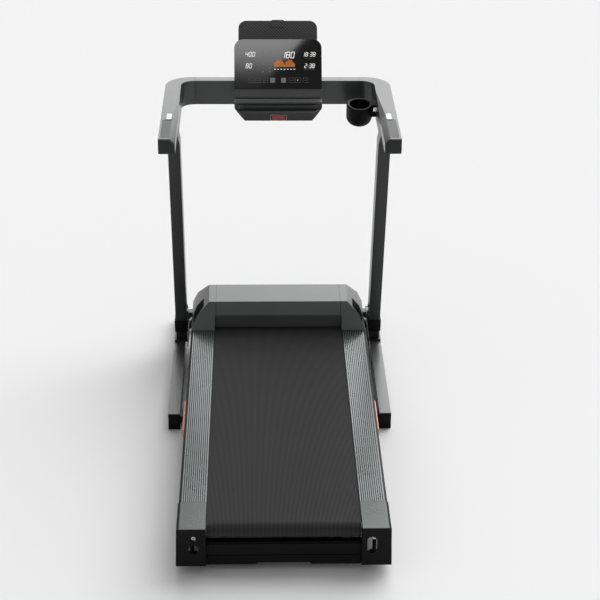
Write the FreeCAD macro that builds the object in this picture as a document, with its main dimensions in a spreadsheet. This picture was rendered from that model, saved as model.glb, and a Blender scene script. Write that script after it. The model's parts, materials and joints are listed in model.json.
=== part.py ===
import FreeCAD
import Part
import Sketcher
import math
import os

V = FreeCAD.Vector
doc = FreeCAD.newDocument("Treadmill")
sheet = doc.addObject("Spreadsheet::Sheet", "Dims")

# Driving dimensions, millimetres and degrees. "set" values are measured back from the
# front end of the base rails, "rear" values forward from the rear face of the deck.
dims = {
    # overall
    "overall_length": 1780, "deck_width": 686, "deck_top": 178, "handle_top": 1090,
    # clearances
    "wide_gap": 3, "run_gap": 0.05, "seat_gap": 0.2, "move_gap": 0.4,
    # base rails
    "rail_offset": 50.5, "rail_width": 44, "rail_depth": 58, "rail_wall": 2.5, "pad_thick": 6,
    "rail_set_rear": 873, "rail_cap": 6, "plug_depth": 20,
    "cross_set": 6, "cross_deep": 32, "cross_tall": 46, "mid_cross_set": 800, "mid_cross_deep": 36,
    "inlet_x": 210, "inlet_low": 14, "inlet_wide": 76, "inlet_tall": 34, "inlet_thick": 4, "switch_x": 263,
    "switch_wide": 20.8, "switch_tall": 24, "switch_deep": 3.4, "switch_pin": 1.2, "switch_axis": 2,
    # uprights
    "upright_offset": 43.5, "upright_width": 45, "upright_deep": 82, "upright_wall": 2.5,
    "upright_set": 297, "upright_lean": 13.3, "foot_plate": 8, "boot_low": 108, "boot_high": 164,
    "boot_wall": 4,
    # handlebar
    "arm_inner": 29, "arm_width": 59.7, "arm_chamfer": 18, "chamfer_set": 460,
    "chamfer_run": 270, "chamfer_turn": 4, "arm_set_rear": 713, "arm_set_front": 42, "bar_deep": 44,
    "bar_tall": 96, "arm_end_tall": 54, "arm_outer_round": 98, "arm_inner_round": 50,
    "arm_joint_in": 25, "end_cap_deep": 12, "arm_wall": 2.5, "grip_start": 22, "grip_length": 180,
    "grip_thick": 3, "grip_edge": 8, "key_set": 473, "key_length": 52, "key_width": 17, "key_deep": 12,
    "key_pin_radius": 2, "key_pin_drop": 6, "cradle_side": 5, "cradle_end": 6, "top_block": 50,
    # lift frame and deck pivot
    "lift_set": 90, "lift_height": 40, "pivot_set": 280, "pivot_height": 130, "lift_plate": 8,
    "lift_gap": 4, "lift_shaft_radius": 8, "lift_tube_radius": 15, "lift_bar_radius": 20, "pin_radius": 10,
    "fold_plate": 3, "fold_plate_reach": 150, "fold_plate_radius": 20,
    "motor_case": 140, "motor_case_tall": 44,
    # deck frame
    "foot_rail_width": 91, "rail_plate": 3.5, "skirt_low": 40, "skirt_wall": 3,
    "rib_count": 11, "rib_wide": 3, "rib_deep": 1.2, "rib_pitch": 7,
    "beam_in": 58, "beam_width": 30, "beam_low": 100, "beam_rear": 60, "beam_set": 190,
    "ledge_wide": 33, "ledge_thick": 4, "board_thick": 18, "board_rear": 82, "board_set": 402,
    "board_over": 17, "cushion_tall": 4, "cushion_radius": 9,
    "frame_bar_deep": 34, "frame_bar_low": 100, "frame_bar_tall": 16,
    # belt and rollers
    "belt_drop": 3.5, "belt_thick": 2.2, "roller_radius": 24.5, "belt_gap": 0.3,
    "rear_roller_y": 47, "front_roller_set": 348, "axle_radius": 8, "axle_seat": 18, "roller_over": 10,
    "pulley_radius": 45, "pulley_wide": 15, "pulley_gap": 2,
    # rear of the deck
    "end_length": 158, "cap_plate": 4, "cap_low": 36, "cap_wall": 4,
    "cap_flare_top": 2.5, "cap_flare_low": 6.5, "bolt_in": 52, "bolt_z": 141, "slot_in": 59, "slot_low": 98, "slot_high": 131, "slot_radius": 15.5,
    "rear_bar_y": 20, "rear_bar_top": 115, "rear_bar_mid": 62, "rear_bar_low": 25, "rear_bar_deep": 24,
    "notch_half": 82, "foot_radius": 22, "foot_y": 102,
    # hood
    "hood_rear_set": 426, "hood_crease_set": 376, "hood_top": 279, "hood_front_set": 220,
    "hood_nose_set": 168, "hood_wall": 3, "hood_top_in": 73, "hood_knee_in": 21,
    "hood_knee": 226, "hood_low": 60, "hood_nose_low": 94, "throat_set": 403, "throat_top": 231,
    # motor bay
    "tray_low": 97, "tray_thick": 3, "motor_set": 238, "motor_height": 172, "motor_radius": 42,
    "motor_length": 190, "motor_x": -205, "shaft_radius": 6, "flywheel_radius": 50,
    "flywheel_wide": 12, "small_pulley": 14, "drive_belt_thick": 2,
    # side accents
    "accent_y": 690, "accent_length": 240, "accent_low": 90, "accent_tall": 30, "accent_out": 12,
    # console
    "tilt": 55.6, "glass_set": 190, "glass_z": 1095, "glass_width": 334, "glass_tall": 195,
    "glass_thick": 4, "glass_round": 35, "shell_thick": 24, "board_width": 290, "board_tall": 150,
    "tablet_width": 303, "tablet_rise": 82, "tablet_tall": 197, "tablet_thick": 6, "tablet_round": 30,
    "tablet_back": 32, "clip_width": 50, "clip_rise": 2.5, "clip_tall": 26,
    "tray_half": 167, "tray_set": 257, "tray_low_z": 1033, "tray_top_z": 1049,
    "chin_half": 167, "chin_low_half": 128, "chin_rear_half": 125, "chin_facet_half": 140,
    "chin_facet_deep": 12, "chin_side_deep": 50, "chin_rear_set": 290, "chin_low_z": 1002,
    "safety_width": 51, "safety_tall": 16, "safety_deep": 26,
    # bottle holder
    "cup_x": 310, "cup_set": 220, "cup_rim": 1042, "cup_radius": 49.5, "cup_wall": 3.5,
    "cup_tall": 84, "cup_tilt": 9, "cup_round": 36, "bracket_wide": 36, "bracket_gap": 9,
    "limb_thick": 10, "limb_drop": 6, "limb_apart": 38,
}


def fill_sheet():
    for row, (name, value) in enumerate(dims.items(), start=1):
        sheet.set(f"A{row}", name)
        sheet.set(f"B{row}", str(value))
        sheet.setAlias(f"B{row}", name)
    doc.recompute()


fill_sheet()


def full(expression):
    """Write a size by its plain name: each word that names a cell becomes Dims.name."""
    out, word = "", ""
    for char in str(expression) + " ":
        if char.isalnum() or char in "_.":
            word += char
            continue
        out += ("Dims." + word if word in dims else word) + char
        word = ""
    return out.strip()


def value(expression):
    return float(sheet.evalExpression(full(expression)))


def bind(item, prop, expression):
    item.setExpression(prop, full(expression))


def front(setback):
    """Y of a point a given distance behind the front end of the base rails."""
    return f"(overall_length / 2 - ({setback}))"


def rear(distance):
    """Y of a point a given distance ahead of the rear face of the deck."""
    return f"(({distance}) - overall_length / 2)"


count = {}
nodes = {}


def fresh(kind, stem):
    count[stem] = count.get(stem, 0) + 1
    return doc.addObject(kind, f"{stem}_{count[stem]}")


def place(item, x=0, y=0, z=0, axis=None, angle=0):
    """Bind a placement; a turn about a principal axis may follow a cell too."""
    if axis:
        turn = FreeCAD.Rotation(V(*axis), 30)
        item.Placement = FreeCAD.Placement(V(0, 0, 0), turn)
        bind(item, "Placement.Rotation.Angle", angle)
    bind(item, "Placement.Base.x", x)
    bind(item, "Placement.Base.y", y)
    bind(item, "Placement.Base.z", z)
    return item


def node(item, label):
    """Name a finished sub-part."""
    item.Label = label
    nodes[label] = item
    return item


def block(x, y, z, wide, deep, tall):
    """Box from its low corner."""
    box = fresh("Part::Box", "Block")
    bind(box, "Length", wide)
    bind(box, "Width", deep)
    bind(box, "Height", tall)
    return place(box, x, y, z)


def between(x0, x1, y0, y1, z0, z1):
    """Box between two faces on each axis."""
    return block(x0, y0, z0, f"({x1}) - ({x0})", f"({y1}) - ({y0})", f"({z1}) - ({z0})")


turns = {"X": ((0, 1, 0), 90), "Y": ((1, 0, 0), -90), "Z": (None, 0)}


def rod(x, y, z, radius, length, along="X"):
    """Cylinder from the centre of its low end."""
    cylinder = fresh("Part::Cylinder", "Rod")
    bind(cylinder, "Radius", radius)
    bind(cylinder, "Height", length)
    axis, angle = turns[along]
    return place(cylinder, x, y, z, axis, angle)


def fuse(*items):
    both = fresh("Part::MultiFuse", "Joined")
    both.Shapes = list(items)
    return both


def group(*items):
    """Several solids that stay apart in one sub-part."""
    several = fresh("Part::Compound", "Group")
    several.Links = list(items)
    return several


def cut(base, *tools):
    result = fresh("Part::Cut", "Cut")
    result.Base = base
    result.Tool = tools[0] if len(tools) == 1 else fuse(*tools)
    return result


def overlap(first, second):
    result = fresh("Part::Common", "Common")
    result.Base = first
    result.Tool = second
    return result


# sketch plane -> the way its pad has to be reversed to run along the positive axis
planes = {"XY_Plane": False, "XZ_Plane": True, "YZ_Plane": False}


def outline(body, plane, points):
    """Closed sketch through the points, every corner tied to the origin by the sheet."""
    sketch = body.newObject("Sketcher::SketchObject", body.Name + "_Sketch")
    base = [f for f in body.Origin.OriginFeatures if f.Role == plane][0]
    sketch.AttachmentSupport = [(base, "")]
    sketch.MapMode = "FlatFace"
    spots = [V(value(a), value(b), 0) for a, b in points]
    total = len(spots)
    for i in range(total):
        sketch.addGeometry(Part.LineSegment(spots[i], spots[(i + 1) % total]), False)
    for i in range(total):
        sketch.addConstraint(Sketcher.Constraint("Coincident", i, 2, (i + 1) % total, 1))
    for i, (a, b) in enumerate(points):
        for kind, size, spot in (("DistanceX", a, spots[i].x), ("DistanceY", b, spots[i].y)):
            index = sketch.addConstraint(Sketcher.Constraint(kind, -1, 1, i, 1, spot))
            sketch.setExpression(f"Constraints[{index}]", full(size))
    return sketch


def prism(plane, points, length, x=0, y=0, z=0, axis=None, angle=0):
    """PartDesign body: an outline padded along the third axis."""
    body = fresh("PartDesign::Body", "Body")
    sketch = outline(body, plane, points)
    pad = body.newObject("PartDesign::Pad", body.Name + "_Pad")
    pad.Profile = sketch
    pad.Reversed = planes[plane]
    bind(pad, "Length", length)
    place(body, x, y, z, axis, angle)
    return body


def edge_names(shape, test):
    return [f"Edge{i}" for i, edge in enumerate(shape.Edges, start=1) if test(edge)]


def upright_edges(edge, x, y, tolerance=0.5):
    """Is this edge parallel to Z and at the given x and y?"""
    first, last = edge.Vertexes[0].Point, edge.Vertexes[-1].Point
    straight = abs(first.x - last.x) < 0.01 and abs(first.y - last.y) < 0.01
    return straight and abs(first.x - x) < tolerance and abs(first.y - y) < tolerance


def round_corner(body, x, y, radius):
    """Round one upright corner of a body that was padded along Z."""
    doc.recompute()
    base = body.Tip
    names = edge_names(base.Shape, lambda e: upright_edges(e, value(x), value(y)))
    rounded = body.newObject("PartDesign::Fillet", body.Name + "_Round")
    rounded.Base = (base, names)
    bind(rounded, "Radius", radius)
    return body


def rectangle(x0, x1, y0, y1):
    return [(x0, y0), (x1, y0), (x1, y1), (x0, y1)]


def spread(side, near, far):
    """Low and high x of something that runs from near to far on one side."""
    if side < 0:
        return f"-({far})", f"-({near})"
    return f"{near}", f"{far}"


half = "(deck_width / 2)"
rail_x = f"({half} + rail_offset)"
rail_near = f"({rail_x} - rail_width / 2)"
rail_far = f"({rail_x} + rail_width / 2)"
rail_top = "(pad_thick + rail_depth)"
upright_x = f"({half} + upright_offset)"
arm_joint = f"({half} - arm_joint_in)"
arm_near = f"({half} + arm_inner)"
arm_far = f"({half} + arm_inner + arm_width)"
arm_x = f"({half} + arm_inner + arm_width / 2)"
belt_half = "(deck_width / 2 - foot_rail_width - 2)"
rail_in = "(deck_width / 2 - foot_rail_width)"
belt_top = "(deck_top - belt_drop)"
roller_z = "(deck_top - belt_drop - belt_thick - belt_gap - roller_radius)"
board_top = "(deck_top - belt_drop - belt_thick - belt_gap)"
rail_under = "(deck_top - rail_plate)"
beam_near = f"({half} - beam_in)"
beam_far = f"({half} - beam_in + beam_width)"
pulley_x = f"({belt_half} + roller_over + pulley_gap + pulley_wide / 2)"
sides = {"left": -1, "right": 1}


# ---------------------------------------------------------------- base frame

def base_rail(side):
    low, high = spread(side, rail_near, rail_far)
    start, end = front("rail_set_rear"), front("rail_cap")
    outer = between(low, high, start, end, "pad_thick", rail_top)
    inner = between(f"({low}) + rail_wall", f"({high}) - rail_wall", f"{start} - 1", f"{end} + 1",
                    "pad_thick + rail_wall", f"{rail_top} - rail_wall")
    return cut(outer, inner)


def rail_end_cap(side, outward, y):
    """Plastic plug: a flange down to the floor over the tube's end and a boss inside it."""
    low, high = spread(side, rail_near, rail_far)
    flange_y = y if outward > 0 else f"({y}) - rail_cap"
    plug_y = f"({y}) - plug_depth" if outward > 0 else y
    inset = "(rail_wall + seat_gap)"
    flange = block(low, flange_y, 0, "rail_width", "rail_cap", rail_top)
    plug = block(f"({low}) + {inset}", plug_y, f"pad_thick + {inset}",
                 f"rail_width - 2 * {inset}", "plug_depth", f"rail_depth - 2 * {inset}")
    return fuse(flange, plug)


def floor_pads():
    pads = []
    for side in (-1, 1):
        low, _ = spread(side, rail_near, rail_far)
        for setback in ("rail_cap + 60", "rail_set_rear"):
            pads.append(block(low, front(setback), 0, "rail_width", 54, "pad_thick"))
    return group(*pads)


def base_cross_members():
    bars = []
    for setback, deep, low, tall in (("cross_set", "cross_deep", "pad_thick + 4", "cross_tall"),
                                     ("mid_cross_set", "mid_cross_deep", "pad_thick + 2", 24)):
        y = front(f"{setback} + {deep}")
        outer = block(f"-{rail_near}", y, low, f"2 * {rail_near}", deep, tall)
        inner = block(f"-{rail_near} - 1", f"{y} + rail_wall", f"{low} + rail_wall",
                      f"2 * {rail_near} + 2", f"{deep} - 2 * rail_wall", f"{tall} - 2 * rail_wall")
        bars.append(cut(outer, inner))
    return group(*bars)


lean = "tan(upright_lean)"


def lean_y(z, extra=0):
    """Y of the rear face of an upright at a height."""
    return front(f"upright_set + (({z}) - {rail_top} - foot_plate) * {lean} - ({extra})")


def leaning(side, low, high, grow, wide):
    """Upright-shaped prism between two heights, its faces moved out by grow."""
    points = [(lean_y(low, f"0 - ({grow})"), low), (lean_y(low, f"upright_deep + ({grow})"), low),
              (lean_y(high, f"upright_deep + ({grow})"), high), (lean_y(high, f"0 - ({grow})"), high)]
    return prism("YZ_Plane", points, wide, x=f"{side} * {upright_x} - ({wide}) / 2")


upright_foot = f"({rail_top} + foot_plate)"
arm_under = "(handle_top - arm_end_tall)"
switch_z = "(inlet_low + inlet_tall / 2)"


def upright(side):
    """Tube with a solid top block, which slopes out to the arm's inner face."""
    outer = leaning(side, upright_foot, arm_under, 0, "upright_width")
    inner = leaning(side, f"{upright_foot} - 1", f"{arm_under} - top_block", "-upright_wall",
                    "upright_width - 2 * upright_wall")
    near, arm_low = f"({upright_x} - upright_width / 2)", "(handle_top - bar_tall)"
    slope = [(f"{near} - 1", f"{arm_low} - 6"), (f"{arm_near} + 1", f"{arm_under} + 6"),
             (f"{near} - 1", f"{arm_under} + 6")]
    slope = [(f"{side} * ({x})", z) for x, z in slope]
    start = lean_y(arm_under, -10)
    return cut(outer, inner, prism("XZ_Plane", slope, "upright_deep + 40", y=start))


def upright_foot_plates():
    plates = []
    for side in (-1, 1):
        low, _ = spread(side, f"{upright_x} - upright_width / 2 - 4", rail_far)
        wide = f"{rail_far} - ({upright_x} - upright_width / 2 - 4)"
        plates.append(block(low, f"{lean_y(upright_foot)} - 12", rail_top, wide,
                            "upright_deep + 24", "foot_plate"))
    return group(*plates)


def upright_boots():
    boots = []
    for side in (-1, 1):
        wide = "upright_width + 2 * boot_wall"
        shell = leaning(side, "boot_low", "boot_high", "boot_wall", wide)
        hole = leaning(side, "boot_low - 1", "boot_high + 1", "seat_gap", "upright_width + 2 * seat_gap")
        boots.append(cut(shell, hole))
    return group(*boots)


def upright_bolts():
    """Pairs of button-head bolts on the inner face of each upright, above the boot."""
    bolts = []
    for side in (-1, 1):
        for z in (182, 214):
            low, _ = spread(side, f"{upright_x} - upright_width / 2 - 4", upright_x)
            bolts.append(rod(low if side > 0 else f"{low} + upright_width / 2", lean_y(z, 41), z, 7, 4))
    return group(*bolts)


def handlebar_crossbar():
    y, low = front("arm_set_front + bar_deep"), "(handle_top - bar_tall)"
    outer = block(f"-{arm_joint}", y, low, f"2 * {arm_joint}", "bar_deep", "bar_tall")
    inner = block(f"-{arm_joint} - 1", f"{y} + rail_wall", f"{low} + rail_wall",
                  f"2 * {arm_joint} + 2", "bar_deep - 2 * rail_wall", "bar_tall - 2 * rail_wall")
    return cut(outer, inner)


def arm_chamfer(side, g):
    """Tool for the sloped inner top edge: full width over the handle, fading out towards the bar."""
    reach = "(arm_chamfer + 4)"
    points = [("0 - 1", "1"), (f"{reach}", "1"), (f"{reach}", f"0 - {reach}")]
    points = [(f"{-side} * ({x})", z) for x, z in points]
    edge = f"{side} * ({arm_near} + arm_chamfer + 1.41 * ({g}))"
    start, turn_y = f"{front('arm_set_rear')} - 1", front("chamfer_set")
    handle = prism("XZ_Plane", points, f"{turn_y} - ({start})", x=edge, y=start, z="handle_top")
    fading = prism("XZ_Plane", points, "chamfer_run", x=edge, y=turn_y, z="handle_top",
                   axis=(0, 0, side), angle="chamfer_turn")
    return fuse(handle, fading)


def arm_block(side, g):
    """One arm from the crossbar round the corner to its rear end, every wall moved in by g."""
    bar_rear, bar_front = front("arm_set_front + bar_deep"), front("arm_set_front")
    end = front("arm_set_rear - end_cap_deep")
    open_end = f"({g}) * 0.4"
    points = [(f"{arm_joint} - {open_end}", f"{bar_front} - {g}"), (f"{arm_far} - {g}", f"{bar_front} - {g}"),
              (f"{arm_far} - {g}", f"{end} - {open_end}"), (f"{arm_near} + {g}", f"{end} - {open_end}"),
              (f"{arm_near} + {g}", f"{bar_rear} + {g}"), (f"{arm_joint} - {open_end}", f"{bar_rear} + {g}")]
    points = [(f"{side} * ({x})", y) for x, y in points]
    low, top = "(handle_top - bar_tall)", f"({g}) * 2"
    body = prism("XY_Plane", points, f"bar_tall - {top} - {g}", z=f"{low} + {g}")
    round_corner(body, points[1][0], points[1][1], f"arm_outer_round - {g}")
    round_corner(body, points[4][0], points[4][1], f"arm_inner_round + {g}")
    below, step = f"{low} - 5", f"upright_deep + seat_gap + ({g})"
    under = [(f"{end} - 15", below), (f"{end} - 15", f"{arm_under} + {g}"),
             (lean_y(f"{arm_under} + {g}", step), f"{arm_under} + {g}"), (lean_y(below, step), below)]
    start, _ = spread(side, f"{arm_near} - 100", f"{arm_far} + 100")
    return cut(body, prism("YZ_Plane", under, "arm_width + 200", x=start), arm_chamfer(side, g))


def handlebar_arm(side):
    grip_low, grip_high = spread(side, f"{arm_near} + arm_chamfer + 1", f"{arm_far} - grip_edge")
    grip_y = f"{front('arm_set_rear')} + grip_start"
    recess = between(grip_low, grip_high, grip_y, f"{grip_y} + grip_length", "handle_top - grip_thick",
                     "handle_top + 1")
    middle, key_half = f"{side} * {arm_x}", "(key_width / 2 + move_gap)"
    key_y0, key_y1 = front("key_set + key_length / 2"), front("key_set - key_length / 2")
    pocket = between(f"{middle} - {key_half}", f"{middle} + {key_half}", f"{key_y0} - 2.5 * move_gap",
                     f"{key_y1} + 2.5 * move_gap", "handle_top - key_deep - 4", "handle_top + 1")
    cradle_half = "(key_width / 2 + cradle_side)"
    cradle = between(f"{middle} - {cradle_half}", f"{middle} + {cradle_half}", f"{key_y0} - cradle_end",
                     f"{key_y1} + cradle_end", "handle_top - key_deep - 7", "handle_top - arm_wall")
    shell = fuse(cut(arm_block(side, 0), arm_block(side, "arm_wall")), cradle)
    return cut(shell, recess, pocket, key_pivot(side, "run_gap", "key_width + 7"))


def arm_end_caps():
    caps = []
    for side in (-1, 1):
        low, _ = spread(side, arm_near, arm_far)
        cap = block(low, front("arm_set_rear"), arm_under, "arm_width", "end_cap_deep", "arm_end_tall")
        caps.append(cut(cap, arm_chamfer(side, 0)))
    return group(*caps)


def grips():
    pads = []
    for side in (-1, 1):
        low, high = spread(side, f"{arm_near} + arm_chamfer + 1 + seat_gap",
                           f"{arm_far} - grip_edge - seat_gap")
        start = f"{front('arm_set_rear')} + grip_start + seat_gap"
        pads.append(between(low, high, start, f"{start} + grip_length - 2 * seat_gap",
                            "handle_top - grip_thick", "handle_top"))
    return group(*pads)


def key_pivot(side, grow, length):
    start = f"{side} * {arm_x} - ({length}) / 2"
    return rod(start, front("key_set"), "handle_top - key_pin_drop", f"key_pin_radius + {grow}", length)


def rocker_key(side):
    """Rocker with pivot stubs at both sides, its top level with the arm."""
    low = f"{side} * {arm_x} - key_width / 2"
    key = block(low, front("key_set + key_length / 2"), "handle_top - key_deep", "key_width",
                "key_length", "key_deep")
    return fuse(key, key_pivot(side, 0, "key_width + 6"))


# ---------------------------------------------------------------- lift frame and pivot pins

lift_near = f"({half} + lift_gap)"
lift_far = f"({half} + lift_gap + lift_plate)"
lift_y, lift_z = front("lift_set"), "lift_height"
pivot_y, pivot_z = front("pivot_set"), "pivot_height"


def strap(x, width, y0, z0, y1, z1, radius):
    """Flat bar with round ends between two points of a plane across X."""
    run, rise = f"(({y1}) - ({y0}))", f"(({z1}) - ({z0}))"
    length = f"sqrt({run} ^ 2 + {rise} ^ 2)"
    side_y, side_z = f"({radius}) * {rise} / {length}", f"({radius}) * {run} / {length}"
    points = [(f"{y0} - {side_y}", f"{z0} + {side_z}"), (f"{y1} - {side_y}", f"{z1} + {side_z}"),
              (f"{y1} + {side_y}", f"{z1} - {side_z}"), (f"{y0} + {side_y}", f"{z0} - {side_z}")]
    web = prism("YZ_Plane", points, width, x=x)
    return fuse(web, rod(x, y0, z0, radius, width), rod(x, y1, z1, radius, width))


def lift_arms():
    arms = []
    for side in (-1, 1):
        low, _ = spread(side, lift_near, lift_far)
        bar = strap(low, "lift_plate", pivot_y, pivot_z, lift_y, lift_z, "lift_bar_radius")
        shaft_hole = rod(f"({low}) - 1", lift_y, lift_z, "lift_shaft_radius + run_gap", "lift_plate + 2")
        pin_hole = rod(f"({low}) - 1", pivot_y, pivot_z, "pin_radius + run_gap", "lift_plate + 2")
        arms.append(cut(bar, shaft_hole, pin_hole))
    return group(*arms)


def lift_cross_tube():
    tube = rod(f"-{lift_near}", lift_y, lift_z, "lift_tube_radius", f"2 * {lift_near}")
    lug = block(-12, f"{lift_y} - 10", lift_z, 24, 20, 34)
    bore = rod(f"-{lift_near} - 1", lift_y, lift_z, "lift_shaft_radius + run_gap", f"2 * {lift_near} + 2")
    return cut(fuse(tube, lug), bore)


def lift_shaft():
    return rod(f"-{rail_near}", lift_y, lift_z, "lift_shaft_radius", f"2 * {rail_near}")


def lift_motor():
    low = "(pad_thick + 4 + cross_tall)"
    case = block("-motor_case / 2", front("cross_set + cross_deep"), low, "motor_case", "cross_deep - 2",
                 "motor_case_tall")
    y = front("cross_set + cross_deep / 2 + 1")
    end = rod("motor_case / 2", y, f"{low} + motor_case_tall / 2", 13, 60)
    return fuse(case, end)


def switch_pin(grow, over):
    """Pivot of the rocker switch, across the inlet plate."""
    length = f"(switch_wide + 2 * ({over}))"
    return rod(f"switch_x - {length} / 2", f"{front('cross_set')} + switch_axis", switch_z,
               f"switch_pin + {grow}", length)


def power_inlet():
    """Appliance inlet and switch frame on the front face of the front cross member."""
    face = front("cross_set")
    plate = block("inlet_x", face, "inlet_low", "inlet_wide", "inlet_thick", "inlet_tall")
    well = block("inlet_x + 6", f"{face} - 1", "inlet_low + 5", 30, 6, 24)
    blades = [block(f"inlet_x + 13 + {7 * i}", face, "inlet_low + 14", 2, 2.6, 6) for i in range(3)]
    hole_wide, hole_tall = "(switch_wide + 1.2)", "(switch_tall + 2)"
    switch_hole = block(f"switch_x - {hole_wide} / 2", f"{face} + 0.4", f"{switch_z} - {hole_tall} / 2",
                        hole_wide, "inlet_thick + 1", hole_tall)
    return group(cut(plate, well, switch_hole, switch_pin("run_gap", 2.4)), *blades)


def power_switch():
    key = block("switch_x - switch_wide / 2", f"{front('cross_set')} + 1.9", f"{switch_z} - switch_tall / 2",
                "switch_wide", "switch_deep", "switch_tall")
    return fuse(key, switch_pin(0, 2))


def deck_pivot_pins():
    """Pins through the lift arms into the deck beams, each welded to a fold plate outside its arm."""
    pins = []
    for side in (-1, 1):
        inner, outer = f"({beam_near} - 2)", f"({lift_far} + seat_gap)"
        low, _ = spread(side, inner, outer)
        shank = rod(low, pivot_y, pivot_z, "pin_radius", f"{outer} - {inner}")
        plate_x, _ = spread(side, outer, f"{outer} + fold_plate")
        plate = strap(plate_x, "fold_plate", pivot_y, pivot_z, f"{pivot_y} - fold_plate_reach", pivot_z,
                      "fold_plate_radius")
        pins.append(fuse(shank, plate))
    return group(*pins)


# ---------------------------------------------------------------- deck frame

def deck_beams():
    """Steel side beams with the ledge that carries the running board."""
    beams = []
    for side in (-1, 1):
        low, high = spread(side, beam_near, beam_far)
        tube = between(low, high, rear("beam_rear"), front("beam_set"), "beam_low", rail_under)
        shelf_x, _ = spread(side, f"({beam_near} - ledge_wide)", beam_near)
        shelf_z = f"{board_top} - board_thick - cushion_tall - ledge_thick"
        shelf = block(shelf_x, rear("board_rear"), shelf_z, "ledge_wide",
                      f"{front('board_set')} - {rear('board_rear')}", "ledge_thick")
        hole = rod(f"({low}) - 1", pivot_y, pivot_z, "pin_radius + run_gap", "beam_width + 2")
        notch = between(f"({low}) - 1", f"({high}) + 1", rear("beam_rear - 1"), rear("end_length + 1"),
                        "deck_top - 12", "deck_top + 1")
        bore = between(f"({low}) + rail_wall", f"({high}) - rail_wall", f"{rear('beam_rear')} - 1",
                       f"{front('beam_set')} + 1", "beam_low + rail_wall", f"{rail_under} - rail_wall")
        tube = cut(tube, bore)
        beams.append(cut(fuse(tube, shelf), hole, notch))
    return group(*beams)


def deck_cross_members():
    bars = []
    for share in (0.2, 0.43, 0.66):
        y = rear(f"overall_length * {share}")
        bars.append(block(f"-{beam_near}", y, "frame_bar_low", f"2 * {beam_near}", "frame_bar_deep",
                          "frame_bar_tall"))
    return group(*bars)


def running_board():
    wide = f"({beam_near} - board_over)"
    return between(f"-{wide}", wide, rear("board_rear"), front("board_set"),
                   f"{board_top} - board_thick", board_top)


def deck_cushions():
    feet = []
    z = f"{board_top} - board_thick - cushion_tall"
    for side in (-1, 1):
        for share in (0.1, 0.4, 0.7):
            y = rear(f"board_rear + (overall_length - board_rear) * {share}")
            x = f"{side} * ({beam_near} - board_over - 12)"
            feet.append(rod(x, y, z, "cushion_radius", "cushion_tall", "Z"))
    return group(*feet)


def loop_solid(radius, half_width):
    """Solid outline of a belt round the two rollers."""
    y0, y1 = rear("rear_roller_y"), front("front_roller_set")
    wide = f"2 * ({half_width})"
    back = rod(f"-({half_width})", y0, roller_z, radius, wide)
    ahead = rod(f"-({half_width})", y1, roller_z, radius, wide)
    middle = block(f"-({half_width})", y0, f"{roller_z} - ({radius})", wide, f"{y1} - {y0}",
                   f"2 * ({radius})")
    return fuse(back, ahead, middle)


def running_belt():
    inner = "(roller_radius + belt_gap)"
    return cut(loop_solid(f"{inner} + belt_thick", belt_half), loop_solid(inner, f"{belt_half} + 1"))


def roller(y, over, pulley):
    half_drum = f"({belt_half} + {over})"
    start, length = f"-{half_drum}", f"2 * {half_drum}"
    drum = rod(start, y, roller_z, "roller_radius", length)
    if pulley:
        start, length = f"-{half_drum} - pulley_wide - pulley_gap", f"{length} + pulley_wide + pulley_gap"
        hub = rod(start, y, roller_z, "axle_radius * 2", "pulley_wide + pulley_gap + 1")
        wheel = rod(start, y, roller_z, "pulley_radius", "pulley_wide")
        drum = fuse(drum, hub, wheel)
    bore = rod(f"{start} - 1", y, roller_z, "axle_radius + run_gap", f"{length} + 2")
    return cut(drum, bore)


def roller_axles():
    wide = f"({beam_near} + axle_seat)"
    back = rod(f"-{wide}", rear("rear_roller_y"), roller_z, "axle_radius", f"2 * {wide}")
    ahead = rod(f"-{beam_near}", front("front_roller_set"), roller_z, "axle_radius", f"2 * {beam_near}")
    return group(back, ahead)


def foot_rail(side):
    """Extruded side rail: ribbed top plate, bevelled outer edge, skirt and inner lip."""
    inner, outer = rail_in, half
    points = [(inner, "deck_top - 1"), (f"{inner} + 1", "deck_top"), (f"{outer} - 9", "deck_top"),
              (outer, "deck_top - 7"), (outer, "skirt_low"), (f"{outer} - skirt_wall", "skirt_low"),
              (f"{outer} - skirt_wall", "deck_top - 8"), (f"{outer} - 11", rail_under), (inner, rail_under)]
    points = [(f"{side} * ({x})", z) for x, z in points]
    y0 = rear("end_length")
    length = f"{front('hood_rear_set')} - {y0}"
    rail = prism("XZ_Plane", points, length, y=y0)
    grooves = []
    for i in range(int(dims["rib_count"])):
        start = f"{inner} + 5 + {i} * rib_pitch"
        low, _ = spread(side, start, f"{start} + rib_wide")
        grooves.append(block(low, f"{y0} - 1", "deck_top - rib_deep", "rib_wide", f"{length} + 2",
                             "rib_deep + 1"))
    return cut(rail, *grooves)


def foot_plates():
    """Smooth plates that cap the foot rails at the rear."""
    plates = []
    for side in (-1, 1):
        z, outer = "(deck_top - cap_plate)", f"({half} - 2)"
        points = [(rail_in, z), (rail_in, "deck_top"), (f"{outer} - 4", "deck_top"), (outer, z)]
        points = [(f"{side} * ({x})", height) for x, height in points]
        plates.append(prism("XZ_Plane", points, "end_length - 3", y=rear(3)))
    return group(*plates)


def cap_flare(side, inset):
    """Outline of an end cap across the deck: its outer face leans out towards the floor."""
    top, outer = "(deck_top - cap_plate)", f"{half} + cap_flare_top - ({inset})"
    points = [(f"{rail_in} + ({inset})", f"cap_low - ({inset})"),
              (f"{half} + cap_flare_low - ({inset})", f"cap_low - ({inset})"),
              (outer, f"{top} - 0.4 * ({inset})"), (f"{rail_in} + ({inset})", f"{top} - 0.4 * ({inset})")]
    return [(f"{side} * ({x})", z) for x, z in points]


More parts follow.
